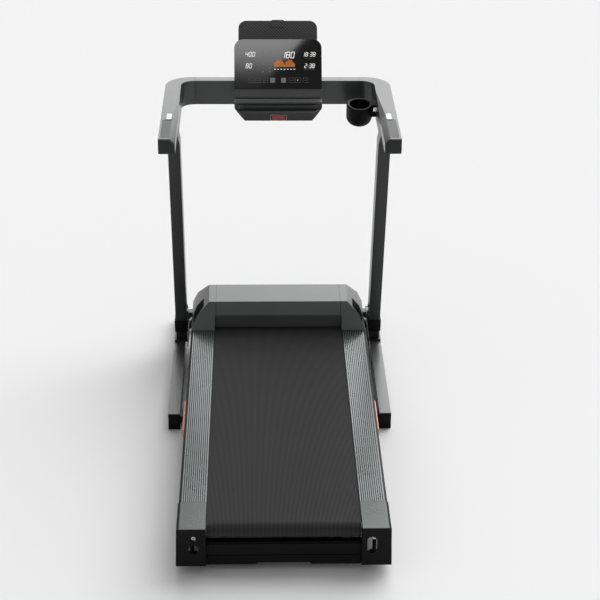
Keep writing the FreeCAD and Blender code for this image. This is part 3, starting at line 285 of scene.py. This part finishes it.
satinPlans = {
    # the frame, base rail and handlebar paints are one dark grey paint; the lighter tones on the base rails and
    # handlebar are painted light
    "framePaint": {"color": (0.017, 0.018, 0.019), "roughness": 0.42, "metallic": 0.2, "coat": 0.3,
                   "wear": 0.05},
    "basePaintLitTone": {"color": (0.090, 0.092, 0.093), "roughness": 0.36, "metallic": 0.5, "coat": 0.4,
                  "wear": 0.05},
    "armPaintLitTone": {"color": (0.052, 0.054, 0.055), "roughness": 0.36, "metallic": 0.5, "coat": 0.4,
                 "wear": 0.05},
    "darkSteel": {"color": (0.012, 0.012, 0.013), "roughness": 0.4, "metallic": 0.3, "wear": 0.2},
    "brightSteel": {"color": (0.45, 0.45, 0.46), "roughness": 0.3, "metallic": 1.0, "wear": 0.1,
                    "cloudDepth": 0.08},
    "blackPlastic": {"color": (0.004, 0.004, 0.0045), "roughness": 0.5, "wear": 0.04,
                     "grainDepth": 0.1, "specular": 0.12},
    "ventPlastic": {"color": (0.002, 0.002, 0.0022), "roughness": 0.7, "wear": 0.0, "grainDepth": 0.1,
                    "specular": 0.03},
    "greyPlastic": {"color": (0.036, 0.037, 0.038), "roughness": 0.45, "wear": 0.03,
                    "grainDepth": 0.1, "specular": 0.35},
    "capPlastic": {"color": (0.018, 0.019, 0.019), "roughness": 0.45, "wear": 0.03, "grainDepth": 0.1,
                   "specular": 0.3},
    "bandPlastic": {"color": (0.075, 0.077, 0.080), "roughness": 0.42, "wear": 0.03, "grainDepth": 0.1},
    # light grey for the stop key's rim is a painted highlight along its edges
    "rimPaintedHighlight": {"color": (0.30, 0.31, 0.32), "roughness": 0.35, "metallic": 0.3, "wear": 0.02},
    "blackRubber": {"color": (0.008, 0.008, 0.008), "roughness": 0.75, "wear": 0.0,
                    "grainDepth": 0.25, "specular": 0.2},
    "copperTrim": {"color": (0.40, 0.19, 0.125), "roughness": 0.36, "metallic": 0.8, "wear": 0.05,
                   "cloudDepth": 0.06},
    "redPlastic": {"color": (0.30, 0.008, 0.014), "roughness": 0.3, "wear": 0.02, "coat": 0.4},
    "silverKey": {"color": (0.72, 0.72, 0.73), "roughness": 0.32, "metallic": 0.6, "wear": 0.0,
                  "cloudDepth": 0.03},
    "circuitGreen": {"color": (0.02, 0.11, 0.045), "roughness": 0.4, "wear": 0.0},
}
for finishName, values in satinPlans.items():
    satinFinish(finishName, **values)


def coordinate(tree, axis):
    # one of the object's own coordinates, in metres
    coords = addNode(tree, "ShaderNodeTexCoord")
    split = addNode(tree, "ShaderNodeSeparateXYZ")
    tree.links.new(coords.outputs["Object"], split.inputs[0])
    return split.outputs[axis]


def layered(name, top, below, level, roughness, metallic, specular):
    # one finish above a height and a darker one below it: ribbed rails, plates and the coated board
    plan = {"grainScale": 500.0, "cloudScale": 6.0, "wobble": 0.25, "belowRoughness": 0.7,
            "spread": 0.08, "bump": 0.05}
    tree, shader = newMaterial(name)[1:]
    grain = groupNode(tree, fineGrainGroup, Scale=plan["grainScale"], Cloud_Scale=plan["cloudScale"])
    mask = math2(tree, "GREATER_THAN", coordinate(tree, "Z"), level)
    shade = tuple(c * (1 - plan["wobble"]) for c in top) + (1.0,)
    color = mixColor(tree, grain.outputs["Cloud"], shade, top + (1.0,))
    tree.links.new(mixColor(tree, mask, below + (1.0,), color), shader.inputs["Base Color"])
    tree.links.new(math2(tree, "MULTIPLY", mask, metallic), shader.inputs["Metallic"])
    gain = math2(tree, "MULTIPLY", mask, plan["belowRoughness"] - roughness)
    rough = math2(tree, "SUBTRACT", plan["belowRoughness"], gain)
    soft = math2(tree, "MULTIPLY", grain.outputs["Cloud"], plan["spread"])
    tree.links.new(math2(tree, "ADD", rough, soft), shader.inputs["Roughness"])
    shader.inputs["Specular IOR Level"].default_value = specular
    addBump(tree, shader, grain.outputs["Height"], plan["bump"])


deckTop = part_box("foot_rail_left")[1].z
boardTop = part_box("running_board")[1].z
skin = 0.5 * mm  # the rails and plates are dark below this depth, inside their grooves
coating = 0.8 * mm  # thickness of the board's slippery top layer
layered("railAluminium", (0.20, 0.21, 0.21), (0.006, 0.006, 0.007), deckTop - skin, 0.24, 0.8, specular=0.4)
layered("plateAluminium", (0.10, 0.105, 0.105), (0.010, 0.010, 0.011), deckTop - skin, 0.24, 0.75,
        specular=0.4)
layered("boardWood", (0.010, 0.010, 0.011), (0.34, 0.23, 0.14), boardTop - coating, 0.5, 0.0, specular=0.3)


def buildHoodPaint():
    # metallic paint with the dark joint lines between the hood's mouldings
    plan = {"seam": 245 * mm, "gap": 0.9 * mm, "dark": (0.004, 0.004, 0.004, 1.0)}
    material = satinFinish("hoodPaint", (0.108, 0.113, 0.112), 0.42, metallic=0.4, coat=0.2,
                           coatRoughness=0.3, wear=0.02)
    tree = material.node_tree
    shader = tree.nodes["Principled BSDF"]
    across = math2(tree, "ABSOLUTE", coordinate(tree, "X"), None)
    away = math2(tree, "ABSOLUTE", math2(tree, "SUBTRACT", across, plan["seam"]), None)
    seam = math2(tree, "LESS_THAN", away, plan["gap"])
    paint = shader.inputs["Base Color"].links[0].from_socket
    tree.links.new(mixColor(tree, seam, paint, plan["dark"]), shader.inputs["Base Color"])


buildHoodPaint()


def ribbedFinish(name, low, high, direction, pitch, crown, depth, roughness, second=None, specular=0.5):
    # ribs in colour and height, with an optional second set across the first
    plan = {"grainScale": 700.0, "cloudScale": 5.0, "shade": 0.8, "cloudShare": 0.3, "spread": 0.15,
            "grit": 0.15, "bump": 0.6}
    tree, shader = newMaterial(name)[1:]
    first = groupNode(tree, ribsGroup, Direction=direction, Pitch=pitch, Crown=crown)
    height = first.outputs["Rib"]
    if second:
        other = groupNode(tree, ribsGroup, Direction=second["direction"], Pitch=second["pitch"],
                          Crown=second["crown"])
        softened = math2(tree, "MULTIPLY", other.outputs["Rib"], second["share"])
        height = math2(tree, "MULTIPLY", height, math2(tree, "ADD", softened, 1 - second["share"]))
    grain = groupNode(tree, fineGrainGroup, Scale=plan["grainScale"], Cloud_Scale=plan["cloudScale"])
    color = mixColor(tree, height, low + (1.0,), high + (1.0,))
    shade = tuple(c * plan["shade"] for c in high) + (1.0,)
    soft = math2(tree, "MULTIPLY", grain.outputs["Cloud"], plan["cloudShare"])
    color = mixColor(tree, soft, color, shade)
    tree.links.new(color, shader.inputs["Base Color"])
    spread = math2(tree, "MULTIPLY", grain.outputs["Cloud"], plan["spread"])
    tree.links.new(math2(tree, "ADD", spread, roughness - 0.07), shader.inputs["Roughness"])
    shader.inputs["Specular IOR Level"].default_value = specular
    rough = math2(tree, "ADD", height, math2(tree, "MULTIPLY", grain.outputs["Height"], plan["grit"]))
    addBump(tree, shader, rough, plan["bump"], depth)


ribbedFinish("beltRubber", (0.006, 0.006, 0.0065), (0.052, 0.052, 0.054), (1, 0, 0), 4.2 * mm, 0.55,
             0.6 * mm, 0.7,
             second={"direction": (0, 1, 0), "pitch": 8.4 * mm, "crown": 0.7, "share": 0.15}, specular=0.12)
ribbedFinish("gripRubber", (0.035, 0.036, 0.037), (0.07, 0.072, 0.074), (1, 0, 0), 3 * mm, 0.6, 0.3 * mm, 0.5)
ribbedFinish("tabletPlastic", (0.018, 0.018, 0.019), (0.100, 0.100, 0.102), (0.70710678, 0.4, 0.58),
             8.5 * mm, 0.45, 0.6 * mm, 0.5,
             second={"direction": (0.70710678, -0.4, -0.58), "pitch": 8.5 * mm, "crown": 0.45, "share": 0.3})


def buildGlass():
    # black glass with faint smears in its gloss
    plan = {"smearScale": 14.0, "roughness": 0.03, "spread": 0.03, "specular": 0.35,
            "dark": (0.0012, 0.0012, 0.0014, 1.0), "light": (0.0022, 0.0020, 0.0022, 1.0)}
    tree, shader = newMaterial("displayGlass")[1:]
    coords = addNode(tree, "ShaderNodeTexCoord")
    smear = addNode(tree, "ShaderNodeTexNoise")
    smear.inputs["Scale"].default_value = plan["smearScale"]
    tree.links.new(coords.outputs["Object"], smear.inputs["Vector"])
    spread = math2(tree, "MULTIPLY", smear.outputs["Fac"], plan["spread"])
    tree.links.new(math2(tree, "ADD", spread, plan["roughness"]), shader.inputs["Roughness"])
    tint = mixColor(tree, smear.outputs["Fac"], plan["dark"], plan["light"])
    tree.links.new(tint, shader.inputs["Base Color"])
    shader.inputs["Specular IOR Level"].default_value = plan["specular"]


def glowing(name, color, strength):
    # lit marks on the display, a little uneven
    plan = {"patchScale": 60.0, "dim": 0.85, "roughness": 0.4}
    tree, shader = newMaterial(name)[1:]
    noise = addNode(tree, "ShaderNodeTexNoise")
    coords = addNode(tree, "ShaderNodeTexCoord")
    noise.inputs["Scale"].default_value = plan["patchScale"]
    tree.links.new(coords.outputs["Object"], noise.inputs["Vector"])
    dim, full = tuple(c * plan["dim"] for c in color) + (1.0,), color + (1.0,)
    tree.links.new(mixColor(tree, noise.outputs["Fac"], dim, full), shader.inputs["Emission Color"])
    shader.inputs["Base Color"].default_value = full
    shader.inputs["Emission Strength"].default_value = strength
    shader.inputs["Roughness"].default_value = plan["roughness"]


buildGlass()
glowing("digitWhite", (0.95, 0.95, 0.92), 0.9)
glowing("graphOrange", (0.60, 0.17, 0.015), 0.45)
glowing("iconGrey", (0.15, 0.15, 0.155), 0.5)
glowing("keyGrey", (0.16, 0.16, 0.17), 0.35)
print("materials ready")


# ---- CAD nodes: finishes and softened edges

finishes = {
    "basePaintLitTone": ["base_rail_left", "base_rail_right"],
    "framePaint": ["upright_left", "upright_right", "base_cross_members", "lift_arms",
                   "lift_cross_tube", "upright_foot_plates"],
    "bandPlastic": ["console_body", "console_back_shell", "throat_panel"],
    "armPaintLitTone": ["handlebar_crossbar", "handlebar_arm_left", "handlebar_arm_right"],
    "blackPlastic": ["rail_end_caps", "upright_boots", "power_inlet", "power_switch",
                     "end_cap_left", "end_cap_right", "rear_crossmember", "tablet_guides", "bottle_cup",
                     "bottle_bracket"],
    "ventPlastic": ["hood_vents"],
    "blackRubber": ["floor_pads", "rear_feet", "deck_cushions", "drive_belt"],
    "brightSteel": ["lift_shaft", "belt_adjust_bolts", "roller_axles", "front_roller", "rear_roller",
                    "motor_rotor"],
    "darkSteel": ["deck_pivot_pins", "upright_bolts", "drive_motor_can", "lift_motor", "deck_beams",
                  "deck_cross_members", "motor_tray"],
    "circuitGreen": ["display_board", "control_board"],
    "greyPlastic": ["console_chin", "console_tray"],
    "capPlastic": ["arm_end_caps"],
    "tabletPlastic": ["tablet_panel"],
    "hoodPaint": ["motor_hood"],
    "railAluminium": ["foot_rail_left", "foot_rail_right"],
    "plateAluminium": ["foot_plates"],
    "copperTrim": ["side_accents"],
    "redPlastic": ["safety_key"],
    "silverKey": ["rocker_key_left", "rocker_key_right"],
    "boardWood": ["running_board"],
    "beltRubber": ["running_belt"],
    "gripRubber": ["grips"],
    "displayGlass": ["console_glass"],
}
finishOf = {}
for materialName, members in finishes.items():
    for member in members:
        finishOf[member] = materials[materialName]
        setMaterial(nodes[member], finishOf[member])


def softened(nodeName, width, smooth):
    # a copy of the node with rounded edges takes its place
    plan = {"merge": 0.01 * mm, "flat": 1.0, "segments": 3, "corner": 30}
    piece = nodes[nodeName].copy()
    piece.data = nodes[nodeName].data.copy()
    piece.parent = None
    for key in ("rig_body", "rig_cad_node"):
        if key in piece:
            del piece[key]
    piece.name = nodeName + ".soft"
    scene.collection.objects.link(piece)
    activate(piece)
    bpy.ops.object.mode_set(mode="EDIT")
    bpy.ops.mesh.select_all(action="SELECT")
    bpy.ops.mesh.remove_doubles(threshold=plan["merge"])
    bpy.ops.mesh.dissolve_limited(angle_limit=math.radians(plan["flat"]))
    bpy.ops.object.mode_set(mode="OBJECT")
    applyModifier(piece, "BEVEL", width=width * mm, segments=plan["segments"], limit_method="ANGLE",
                  angle_limit=math.radians(plan["corner"]), use_clamp_overlap=True, harden_normals=False)
    smoothByAngle(piece, smooth)
    applyModifier(piece, "WEIGHTED_NORMAL", keep_sharp=True)
    setMaterial(piece, finishOf[nodeName])
    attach(piece, nodes[nodeName]["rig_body"])
    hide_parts(nodeName)


softEdges = {
    "base_rail_left": 4, "base_rail_right": 4, "upright_left": 6, "upright_right": 6, "handlebar_crossbar": 3.5,
    "handlebar_arm_left": 3.5, "handlebar_arm_right": 3.5, "arm_end_caps": 5, "rail_end_caps": 2.5,
    "upright_boots": 3, "console_glass": 1.2, "console_back_shell": 2, "console_body": 2, "console_tray": 2,
    "console_chin": 3, "end_cap_left": 2.5, "end_cap_right": 2.5, "rear_crossmember": 1.5, "motor_hood": 2.0,
    "foot_plates": 1, "side_accents": 2.5, "safety_key": 2, "rocker_key_left": 2, "rocker_key_right": 2,
    "tablet_panel": 1.2, "bottle_bracket": 1.5, "grips": 1.5, "lift_motor": 2, "floor_pads": 1}
facetedNodes = ("motor_hood", "console_chin", "console_tray", "console_body", "side_accents")
for nodeName, width in softEdges.items():
    softened(nodeName, width, smooth=20 if nodeName in facetedNodes else 40)
for nodeName, node in nodes.items():
    if nodeName not in softEdges:
        smoothByAngle(node, 35)
print("CAD nodes finished")


# ---- display contents, drawn in the plane of the glass

displayPlan = {"tilt": 55.6, "lift": 0.25 * mm, "thick": 4 * mm}
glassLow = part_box("console_glass")[0]
tilt = math.radians(displayPlan["tilt"])
glassNormal = Vector((0, -math.sin(tilt), math.cos(tilt)))
# bottom front edge of the glass
glassFoot = Vector((0, glassLow.y, glassLow.z + displayPlan["thick"] * math.cos(tilt)))
glassTurn = Matrix.Rotation(tilt, 4, "X")


def onGlass(obj):
    # a flat piece laid out in x (across) and y (up the glass) goes onto the glass
    obj.data.transform(Matrix.Translation(glassFoot + glassNormal * displayPlan["lift"]) @ glassTurn)
    return obj


def flatBar(x, y, wide, tall, turn=0.0):
    deselectAll()
    bpy.ops.mesh.primitive_plane_add(size=1, location=(x, y, 0), rotation=(0, 0, turn))
    bar = bpy.context.object
    bar.scale = (wide, tall, 1)
    return applyPlace(bar)


def joined(parts, name):
    deselectAll()
    for part in parts:
        part.select_set(True)
    bpy.context.view_layer.objects.active = parts[0]
    bpy.ops.object.join()
    whole = bpy.context.object
    whole.name = name
    return whole


segmentLayout = {"a": (0, 1, True), "b": (1, 0.5, False), "c": (1, -0.5, False), "d": (0, -1, True),
                 "e": (-1, -0.5, False), "f": (-1, 0.5, False), "g": (0, 0, True)}
digitSegments = {"0": "abcdef", "1": "bc", "2": "abged", "3": "abgcd", "4": "fgbc", "8": "abcdefg"}


def digitBars(text, x, y, tall, slant=0.17):
    # seven-segment figures, centred on x; a colon is two dots
    plan = {"wide": 0.45, "stroke": 0.08, "step": 0.70, "colonStep": 0.45, "dots": 0.2, "flat": 0.86,
            "upright": 0.42}
    wide, stroke, step = tall * plan["wide"], tall * plan["stroke"], tall * plan["step"]
    advance = [step * (plan["colonStep"] if sign == ":" else 1.0) for sign in text]
    left = x - sum(advance) / 2
    bars = []
    for sign, move in zip(text, advance):
        middle = left + move / 2
        left += move
        if sign == ":":
            for level in (-plan["dots"] * tall, plan["dots"] * tall):
                bars.append(flatBar(middle + slant * level, y + level, stroke, stroke))
            continue
        for segment in digitSegments[sign]:
            across, level, flat = segmentLayout[segment]
            height = level * (tall - stroke) / 2
            centre = middle + across * wide / 2 + slant * height
            size = (wide * plan["flat"], stroke) if flat else (stroke, tall * plan["upright"])
            bars.append(flatBar(centre, y + height, size[0], size[1], 0.0 if flat else -slant))
    return bars


display = {
    "rows": [("400", -0.106, 0.1345, 0.0185), ("80", -0.1115, 0.0895, 0.0185), ("180", 0.0385, 0.132, 0.025),
             ("18:38", 0.118, 0.1345, 0.017), ("2:38", 0.1205, 0.0895, 0.017)],
    "underline": {"drop": 0.0150, "wide": 0.040, "line": 0.0006},
    "graph": {"left": -0.013, "right": 0.063, "foot": 0.085, "count": 22, "low": 0.012, "tall": 0.032,
              "bar": 0.0026, "humps": 1.9, "start": 0.08, "ripple": 2.1},
    "ticks": {"left": -0.012, "right": 0.062, "y": 0.076, "count": 7, "wide": 0.0055, "tall": 0.0022},
    "icons": {"columns": (-0.058, -0.032), "low": 0.066, "high": 0.140, "count": 6, "size": 0.0062},
    "keys": {"places": (-0.102, -0.076, -0.048, -0.021, 0.021, 0.051, 0.075, 0.105), "filled": (3, 4),
             "lit": 6, "y": 0.033, "size": 0.0185, "line": 0.0006, "dash": 0.0012, "dot": 0.0028}}
bars = []
for text, x, y, tall in display["rows"]:
    bars += digitBars(text, x, y, tall)
digits = onGlass(joined(bars, "displayDigits"))
finishPiece(digits, "digitWhite")

graph = display["graph"]
bars = []
for index in range(graph["count"]):
    share = index / (graph["count"] - 1)
    hump = abs(math.sin((share * graph["humps"] + graph["start"]) * math.pi))
    uneven = 0.82 + 0.18 * math.cos(index * graph["ripple"])
    height = graph["low"] + (graph["tall"] - graph["low"]) * hump * uneven
    x = graph["left"] + (graph["right"] - graph["left"]) * share
    bars.append(flatBar(x, graph["foot"] + height / 2, graph["bar"], height))
profileGraph = onGlass(joined(bars, "profileGraph"))
finishPiece(profileGraph, "graphOrange")


def hollowKey(x, y, size, line):
    half = size / 2
    return [flatBar(x, y + half, size, line), flatBar(x, y - half, size, line),
            flatBar(x + half, y, line, size), flatBar(x - half, y, line, size)]


def evenly(first, last, count):
    return [first + (last - first) * index / (count - 1) for index in range(count)]


keys, icons, ticks, underline = (display[part] for part in ("keys", "icons", "ticks", "underline"))
outlines, filled, marks = [], [], []
for index, x in enumerate(keys["places"]):
    if index in keys["filled"]:
        filled.append(flatBar(x, keys["y"], keys["size"], keys["size"]))
        continue
    outlines += hollowKey(x, keys["y"], keys["size"], keys["line"])
    outlines.append(flatBar(x, keys["y"], keys["size"] * 0.4, keys["dash"]))
for x in icons["columns"]:
    for y in evenly(icons["low"], icons["high"], icons["count"]):
        outlines.append(flatBar(x, y, icons["size"], icons["size"] * 0.5))
for text, x, y, tall in display["rows"]:
    outlines.append(flatBar(x, y - underline["drop"], underline["wide"], underline["line"]))
for x in evenly(ticks["left"], ticks["right"], ticks["count"]):
    marks.append(flatBar(x, ticks["y"], ticks["wide"], ticks["tall"]))
marks.append(flatBar(keys["places"][keys["lit"]], keys["y"], keys["dot"], keys["dot"]))
finishPiece(onGlass(joined(outlines, "keyOutlines")), "iconGrey")
finishPiece(onGlass(joined(filled, "startStopKeys")), "keyGrey")
finishPiece(onGlass(joined(marks, "smallMarks")), "digitWhite")
print("display drawn")


# ---- small trim

def selectFaces(obj, test):
    activate(obj)
    bpy.ops.object.mode_set(mode="EDIT")
    bpy.ops.mesh.select_mode(type="FACE")
    bpy.ops.mesh.select_all(action="DESELECT")
    bpy.ops.object.mode_set(mode="OBJECT")
    for face in obj.data.polygons:
        face.select = test(face)
    bpy.ops.object.mode_set(mode="EDIT")


def safetyKeyRim():
    # a raised rim round the mouth of the stop key's socket, coloured light grey as a painted highlight along
    # its edges
    plan = {"borderSide": 6.0, "borderEnd": 3.0, "proud": 3.0, "gap": 0.8, "bevel": 1.2}
    low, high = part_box("safety_key")
    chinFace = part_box("console_chin")[0].y
    wide = high.x - low.x + 2 * plan["borderSide"] * mm
    tall = high.z - low.z + 2 * plan["borderEnd"] * mm
    centre = (0, chinFace - plan["proud"] * mm / 2, (low.z + high.z) / 2)
    deselectAll()
    bpy.ops.mesh.primitive_cube_add(size=1, location=centre)
    rim = bpy.context.object
    rim.name = "safetyKeyRim"
    rim.scale = (wide, plan["proud"] * mm, tall)
    applyPlace(rim)
    selectFaces(rim, lambda face: abs(face.normal.y) > 0.9)
    bpy.ops.mesh.inset(thickness=(plan["borderEnd"] - plan["gap"]) * mm, use_individual=True)
    bpy.ops.mesh.bridge_edge_loops()
    bpy.ops.object.mode_set(mode="OBJECT")
    applyModifier(rim, "BEVEL", width=plan["bevel"] * mm, segments=3, limit_method="ANGLE")
    smoothByAngle(rim, 40)
    finishPiece(rim, "rimPaintedHighlight")


def cupLip():
    # thick rolled lip on the bottle cup, higher at its two sides
    plan = {"outer": 49.3, "inner": 37.0, "flat": 0.45, "horn": 9.0, "hornStart": 0.45, "tilt": 9.0,
            "centreY": 670.0, "belowTop": 7.7, "around": 64, "across": 16}
    cupLow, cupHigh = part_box("bottle_cup")
    ring, tube = (plan["outer"] + plan["inner"]) / 2 * mm, (plan["outer"] - plan["inner"]) / 2 * mm
    centre = Vector(((cupLow.x + cupHigh.x) / 2, plan["centreY"] * mm, cupHigh.z - plan["belowTop"] * mm))
    deselectAll()
    bpy.ops.mesh.primitive_torus_add(major_radius=ring, minor_radius=tube, major_segments=plan["around"],
                                     minor_segments=plan["across"])
    lip = bpy.context.object
    lip.name = "cupLip"
    lip.scale = (1, 1, plan["flat"])
    applyPlace(lip)
    for vertex in lip.data.vertices:
        side = abs(vertex.co.x) / ring
        vertex.co.z += plan["horn"] * mm * max(0.0, side - plan["hornStart"]) ** 1.5
    lip.data.transform(Matrix.Translation(centre) @ Matrix.Rotation(math.radians(plan["tilt"]), 4, "X"))
    smoothByAngle(lip, 60)
    finishPiece(lip, "blackPlastic")


def armDotsAndShadow(side):
    # printed dots ahead of the rocker key, and a black crescent behind it as painted shadow of the key's recess
    plan = {"dot": 2.2, "apart": 6.0, "ahead": 10.0, "behind": 5.0, "shadowCrescent": 15.0, "front": 4.0,
            "bite": 7.0, "lift": 0.15}
    low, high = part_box("rocker_key_" + side)
    middle, top = (low.x + high.x) / 2, high.z + plan["lift"] * mm
    parts = []
    for offset in (-plan["apart"], plan["apart"]):
        deselectAll()
        bpy.ops.mesh.primitive_circle_add(vertices=16, radius=plan["dot"] * mm, fill_type="NGON",
                                          location=(middle + offset * mm, high.y + plan["ahead"] * mm, top))
        parts.append(bpy.context.object)
    # painted shadow: a flat black crescent where the key's recess casts shade on the arm
    deselectAll()
    bpy.ops.mesh.primitive_circle_add(vertices=32, radius=plan["shadowCrescent"] * mm, fill_type="NGON",
                                      location=(middle, low.y - plan["behind"] * mm, top))
    shadowCrescent = applyPlace(bpy.context.object)
    frontEdge = low.y - plan["front"] * mm
    for vertex in shadowCrescent.data.vertices:
        dip = plan["bite"] * mm * (1 - ((vertex.co.x - middle) / (plan["shadowCrescent"] * mm)) ** 2)
        if vertex.co.y > frontEdge - dip:
            vertex.co.y = frontEdge - dip
    parts.append(shadowCrescent)
    finishPiece(joined(parts, "armDotsAndShadow_" + side), "blackPlastic")


safetyKeyRim()
cupLip()
for side in ("left", "right"):
    armDotsAndShadow(side)
print("small trim added")


# ---- floor, light and camera

floorPlan = {"size": 30.0, "ahead": 5.0, "shade": 0.89, "roughness": 0.9, "specular": 0.1}
deselectAll()
bpy.ops.mesh.primitive_plane_add(size=floorPlan["size"], location=(0, floorPlan["ahead"], 0))
floor = bpy.context.object
floor.name = "studioFloor"
floorShader = newMaterial("studioFloor")[2]
floorShader.inputs["Base Color"].default_value = (floorPlan["shade"],) * 3 + (1,)
floorShader.inputs["Roughness"].default_value = floorPlan["roughness"]
floorShader.inputs["Specular IOR Level"].default_value = floorPlan["specular"]
setMaterial(floor, materials["studioFloor"])

sunPlan = {"elevation": 47.0, "azimuth": 32.0, "strength": 2.2, "angle": 60.0}
skyPlan = {"base": 0.36, "backdrop": 1.75, "top": (0.545, 0.485), "far": (-0.2, 0.5), "left": (-0.5, -0.15),
           "seen": 0.96}


def addSun():
    # a wide soft source, ahead and to the right
    lamp = bpy.data.lights.new("keyLight", "SUN")
    lamp.energy = sunPlan["strength"]
    lamp.angle = math.radians(sunPlan["angle"])
    holder = bpy.data.objects.new("keyLight", lamp)
    height, turn = math.radians(sunPlan["elevation"]), math.radians(sunPlan["azimuth"])
    level = math.cos(height)
    toward = Vector((math.sin(turn) * level, math.cos(turn) * level, math.sin(height)))
    holder.rotation_euler = toward.to_track_quat("Z", "Y").to_euler()
    scene.collection.objects.link(holder)


def ramped(tree, source, start, end, low=0.0, high=1.0):
    # a smooth step from low to high as the source goes from start to end
    node = addNode(tree, "ShaderNodeMapRange", interpolation_type="SMOOTHSTEP")
    tree.links.new(source, node.inputs["Value"])
    for label, setting in (("From Min", start), ("From Max", end), ("To Min", low), ("To Max", high)):
        node.inputs[label].default_value = setting
    return node.outputs[0]


def buildSky():
    # a pale dome with a bright backdrop low on the far side
    scene.view_settings.view_transform = "Standard"
    world = bpy.data.worlds.new("studio")
    scene.world = world
    world.use_nodes = True
    tree = world.node_tree
    background = tree.nodes["Background"]
    background.inputs["Color"].default_value = (1, 1, 1, 1)
    coords = addNode(tree, "ShaderNodeTexCoord")
    split = addNode(tree, "ShaderNodeSeparateXYZ")
    tree.links.new(coords.outputs["Generated"], split.inputs[0])
    glow = ramped(tree, split.outputs["Z"], *skyPlan["top"])
    glow = math2(tree, "MULTIPLY", glow, ramped(tree, split.outputs["Y"], *skyPlan["far"]))
    glow = math2(tree, "MULTIPLY", glow, ramped(tree, split.outputs["X"], *skyPlan["left"]))
    glow = math2(tree, "MULTIPLY", glow, skyPlan["backdrop"])
    glow = math2(tree, "ADD", glow, skyPlan["base"])
    path = addNode(tree, "ShaderNodeLightPath")
    pick = addNode(tree, "ShaderNodeMix", data_type="FLOAT")
    tree.links.new(path.outputs["Is Camera Ray"], pick.inputs[0])
    tree.links.new(glow, pick.inputs[2])
    pick.inputs[3].default_value = skyPlan["seen"]
    tree.links.new(pick.outputs[0], background.inputs["Strength"])


def addGlareCard():
    # a small graded panel high ahead of the display: its mirror image is the pale patch on the glass
    plan = {"centre": (0.0, -2.9776, 4.4824), "up": (0.0, 0.6665, 0.7455), "dim": 0.6, "bright": 8.2,
            "low": 4.915, "high": 5.16,
            "corners": ((-0.42, 0.50), (-0.13, 0.50), (0.28, 0.96), (-0.42, 0.96))}
    deselectAll()
    bpy.ops.mesh.primitive_plane_add(size=1)
    card = bpy.context.object
    card.name = "glareCard"
    centre, up = Vector(plan["centre"]), Vector(plan["up"])
    for index, (across, along) in zip((0, 1, 3, 2), plan["corners"]):
        card.data.vertices[index].co = centre + Vector((across, 0, 0)) + up * along
    material, tree, shader = newMaterial("glareCard")
    strength = ramped(tree, coordinate(tree, "Z"), plan["low"], plan["high"], plan["dim"], plan["bright"])
    shader.inputs["Base Color"].default_value = (0, 0, 0, 1)
    shader.inputs["Emission Color"].default_value = (1, 1, 1, 1)
    tree.links.new(strength, shader.inputs["Emission Strength"])
    setMaterial(card, material)
    card.visible_camera = False
    card.visible_diffuse = False
    card.visible_shadow = False


addSun()
buildSky()
addGlareCard()

cameraPlan = {"place": (-0.0850, -5.1855, 3.1928), "pitch": 27.02, "yaw": 1.716, "roll": 0.574,
              "lens": 97.5, "sensor": 36.0, "reach": 100.0}


def placeCamera():
    data = bpy.data.cameras.new("camera")
    data.lens = cameraPlan["lens"]
    data.sensor_width = cameraPlan["sensor"]
    data.clip_end = cameraPlan["reach"]
    camera = bpy.data.objects.new("camera", data)
    scene.collection.objects.link(camera)
    pitch, yaw, roll = (math.radians(cameraPlan[key]) for key in ("pitch", "yaw", "roll"))
    ahead = Vector((math.sin(yaw) * math.cos(pitch), math.cos(yaw) * math.cos(pitch), -math.sin(pitch)))
    right = Vector((math.cos(yaw), -math.sin(yaw), 0))
    up = right.cross(ahead)
    across = right * math.cos(roll) + up * math.sin(roll)
    above = up * math.cos(roll) - right * math.sin(roll)
    turn = Matrix((across, above, -ahead)).transposed().to_4x4()
    camera.matrix_world = Matrix.Translation(cameraPlan["place"]) @ turn
    scene.camera = camera


placeCamera()
print("stage set")
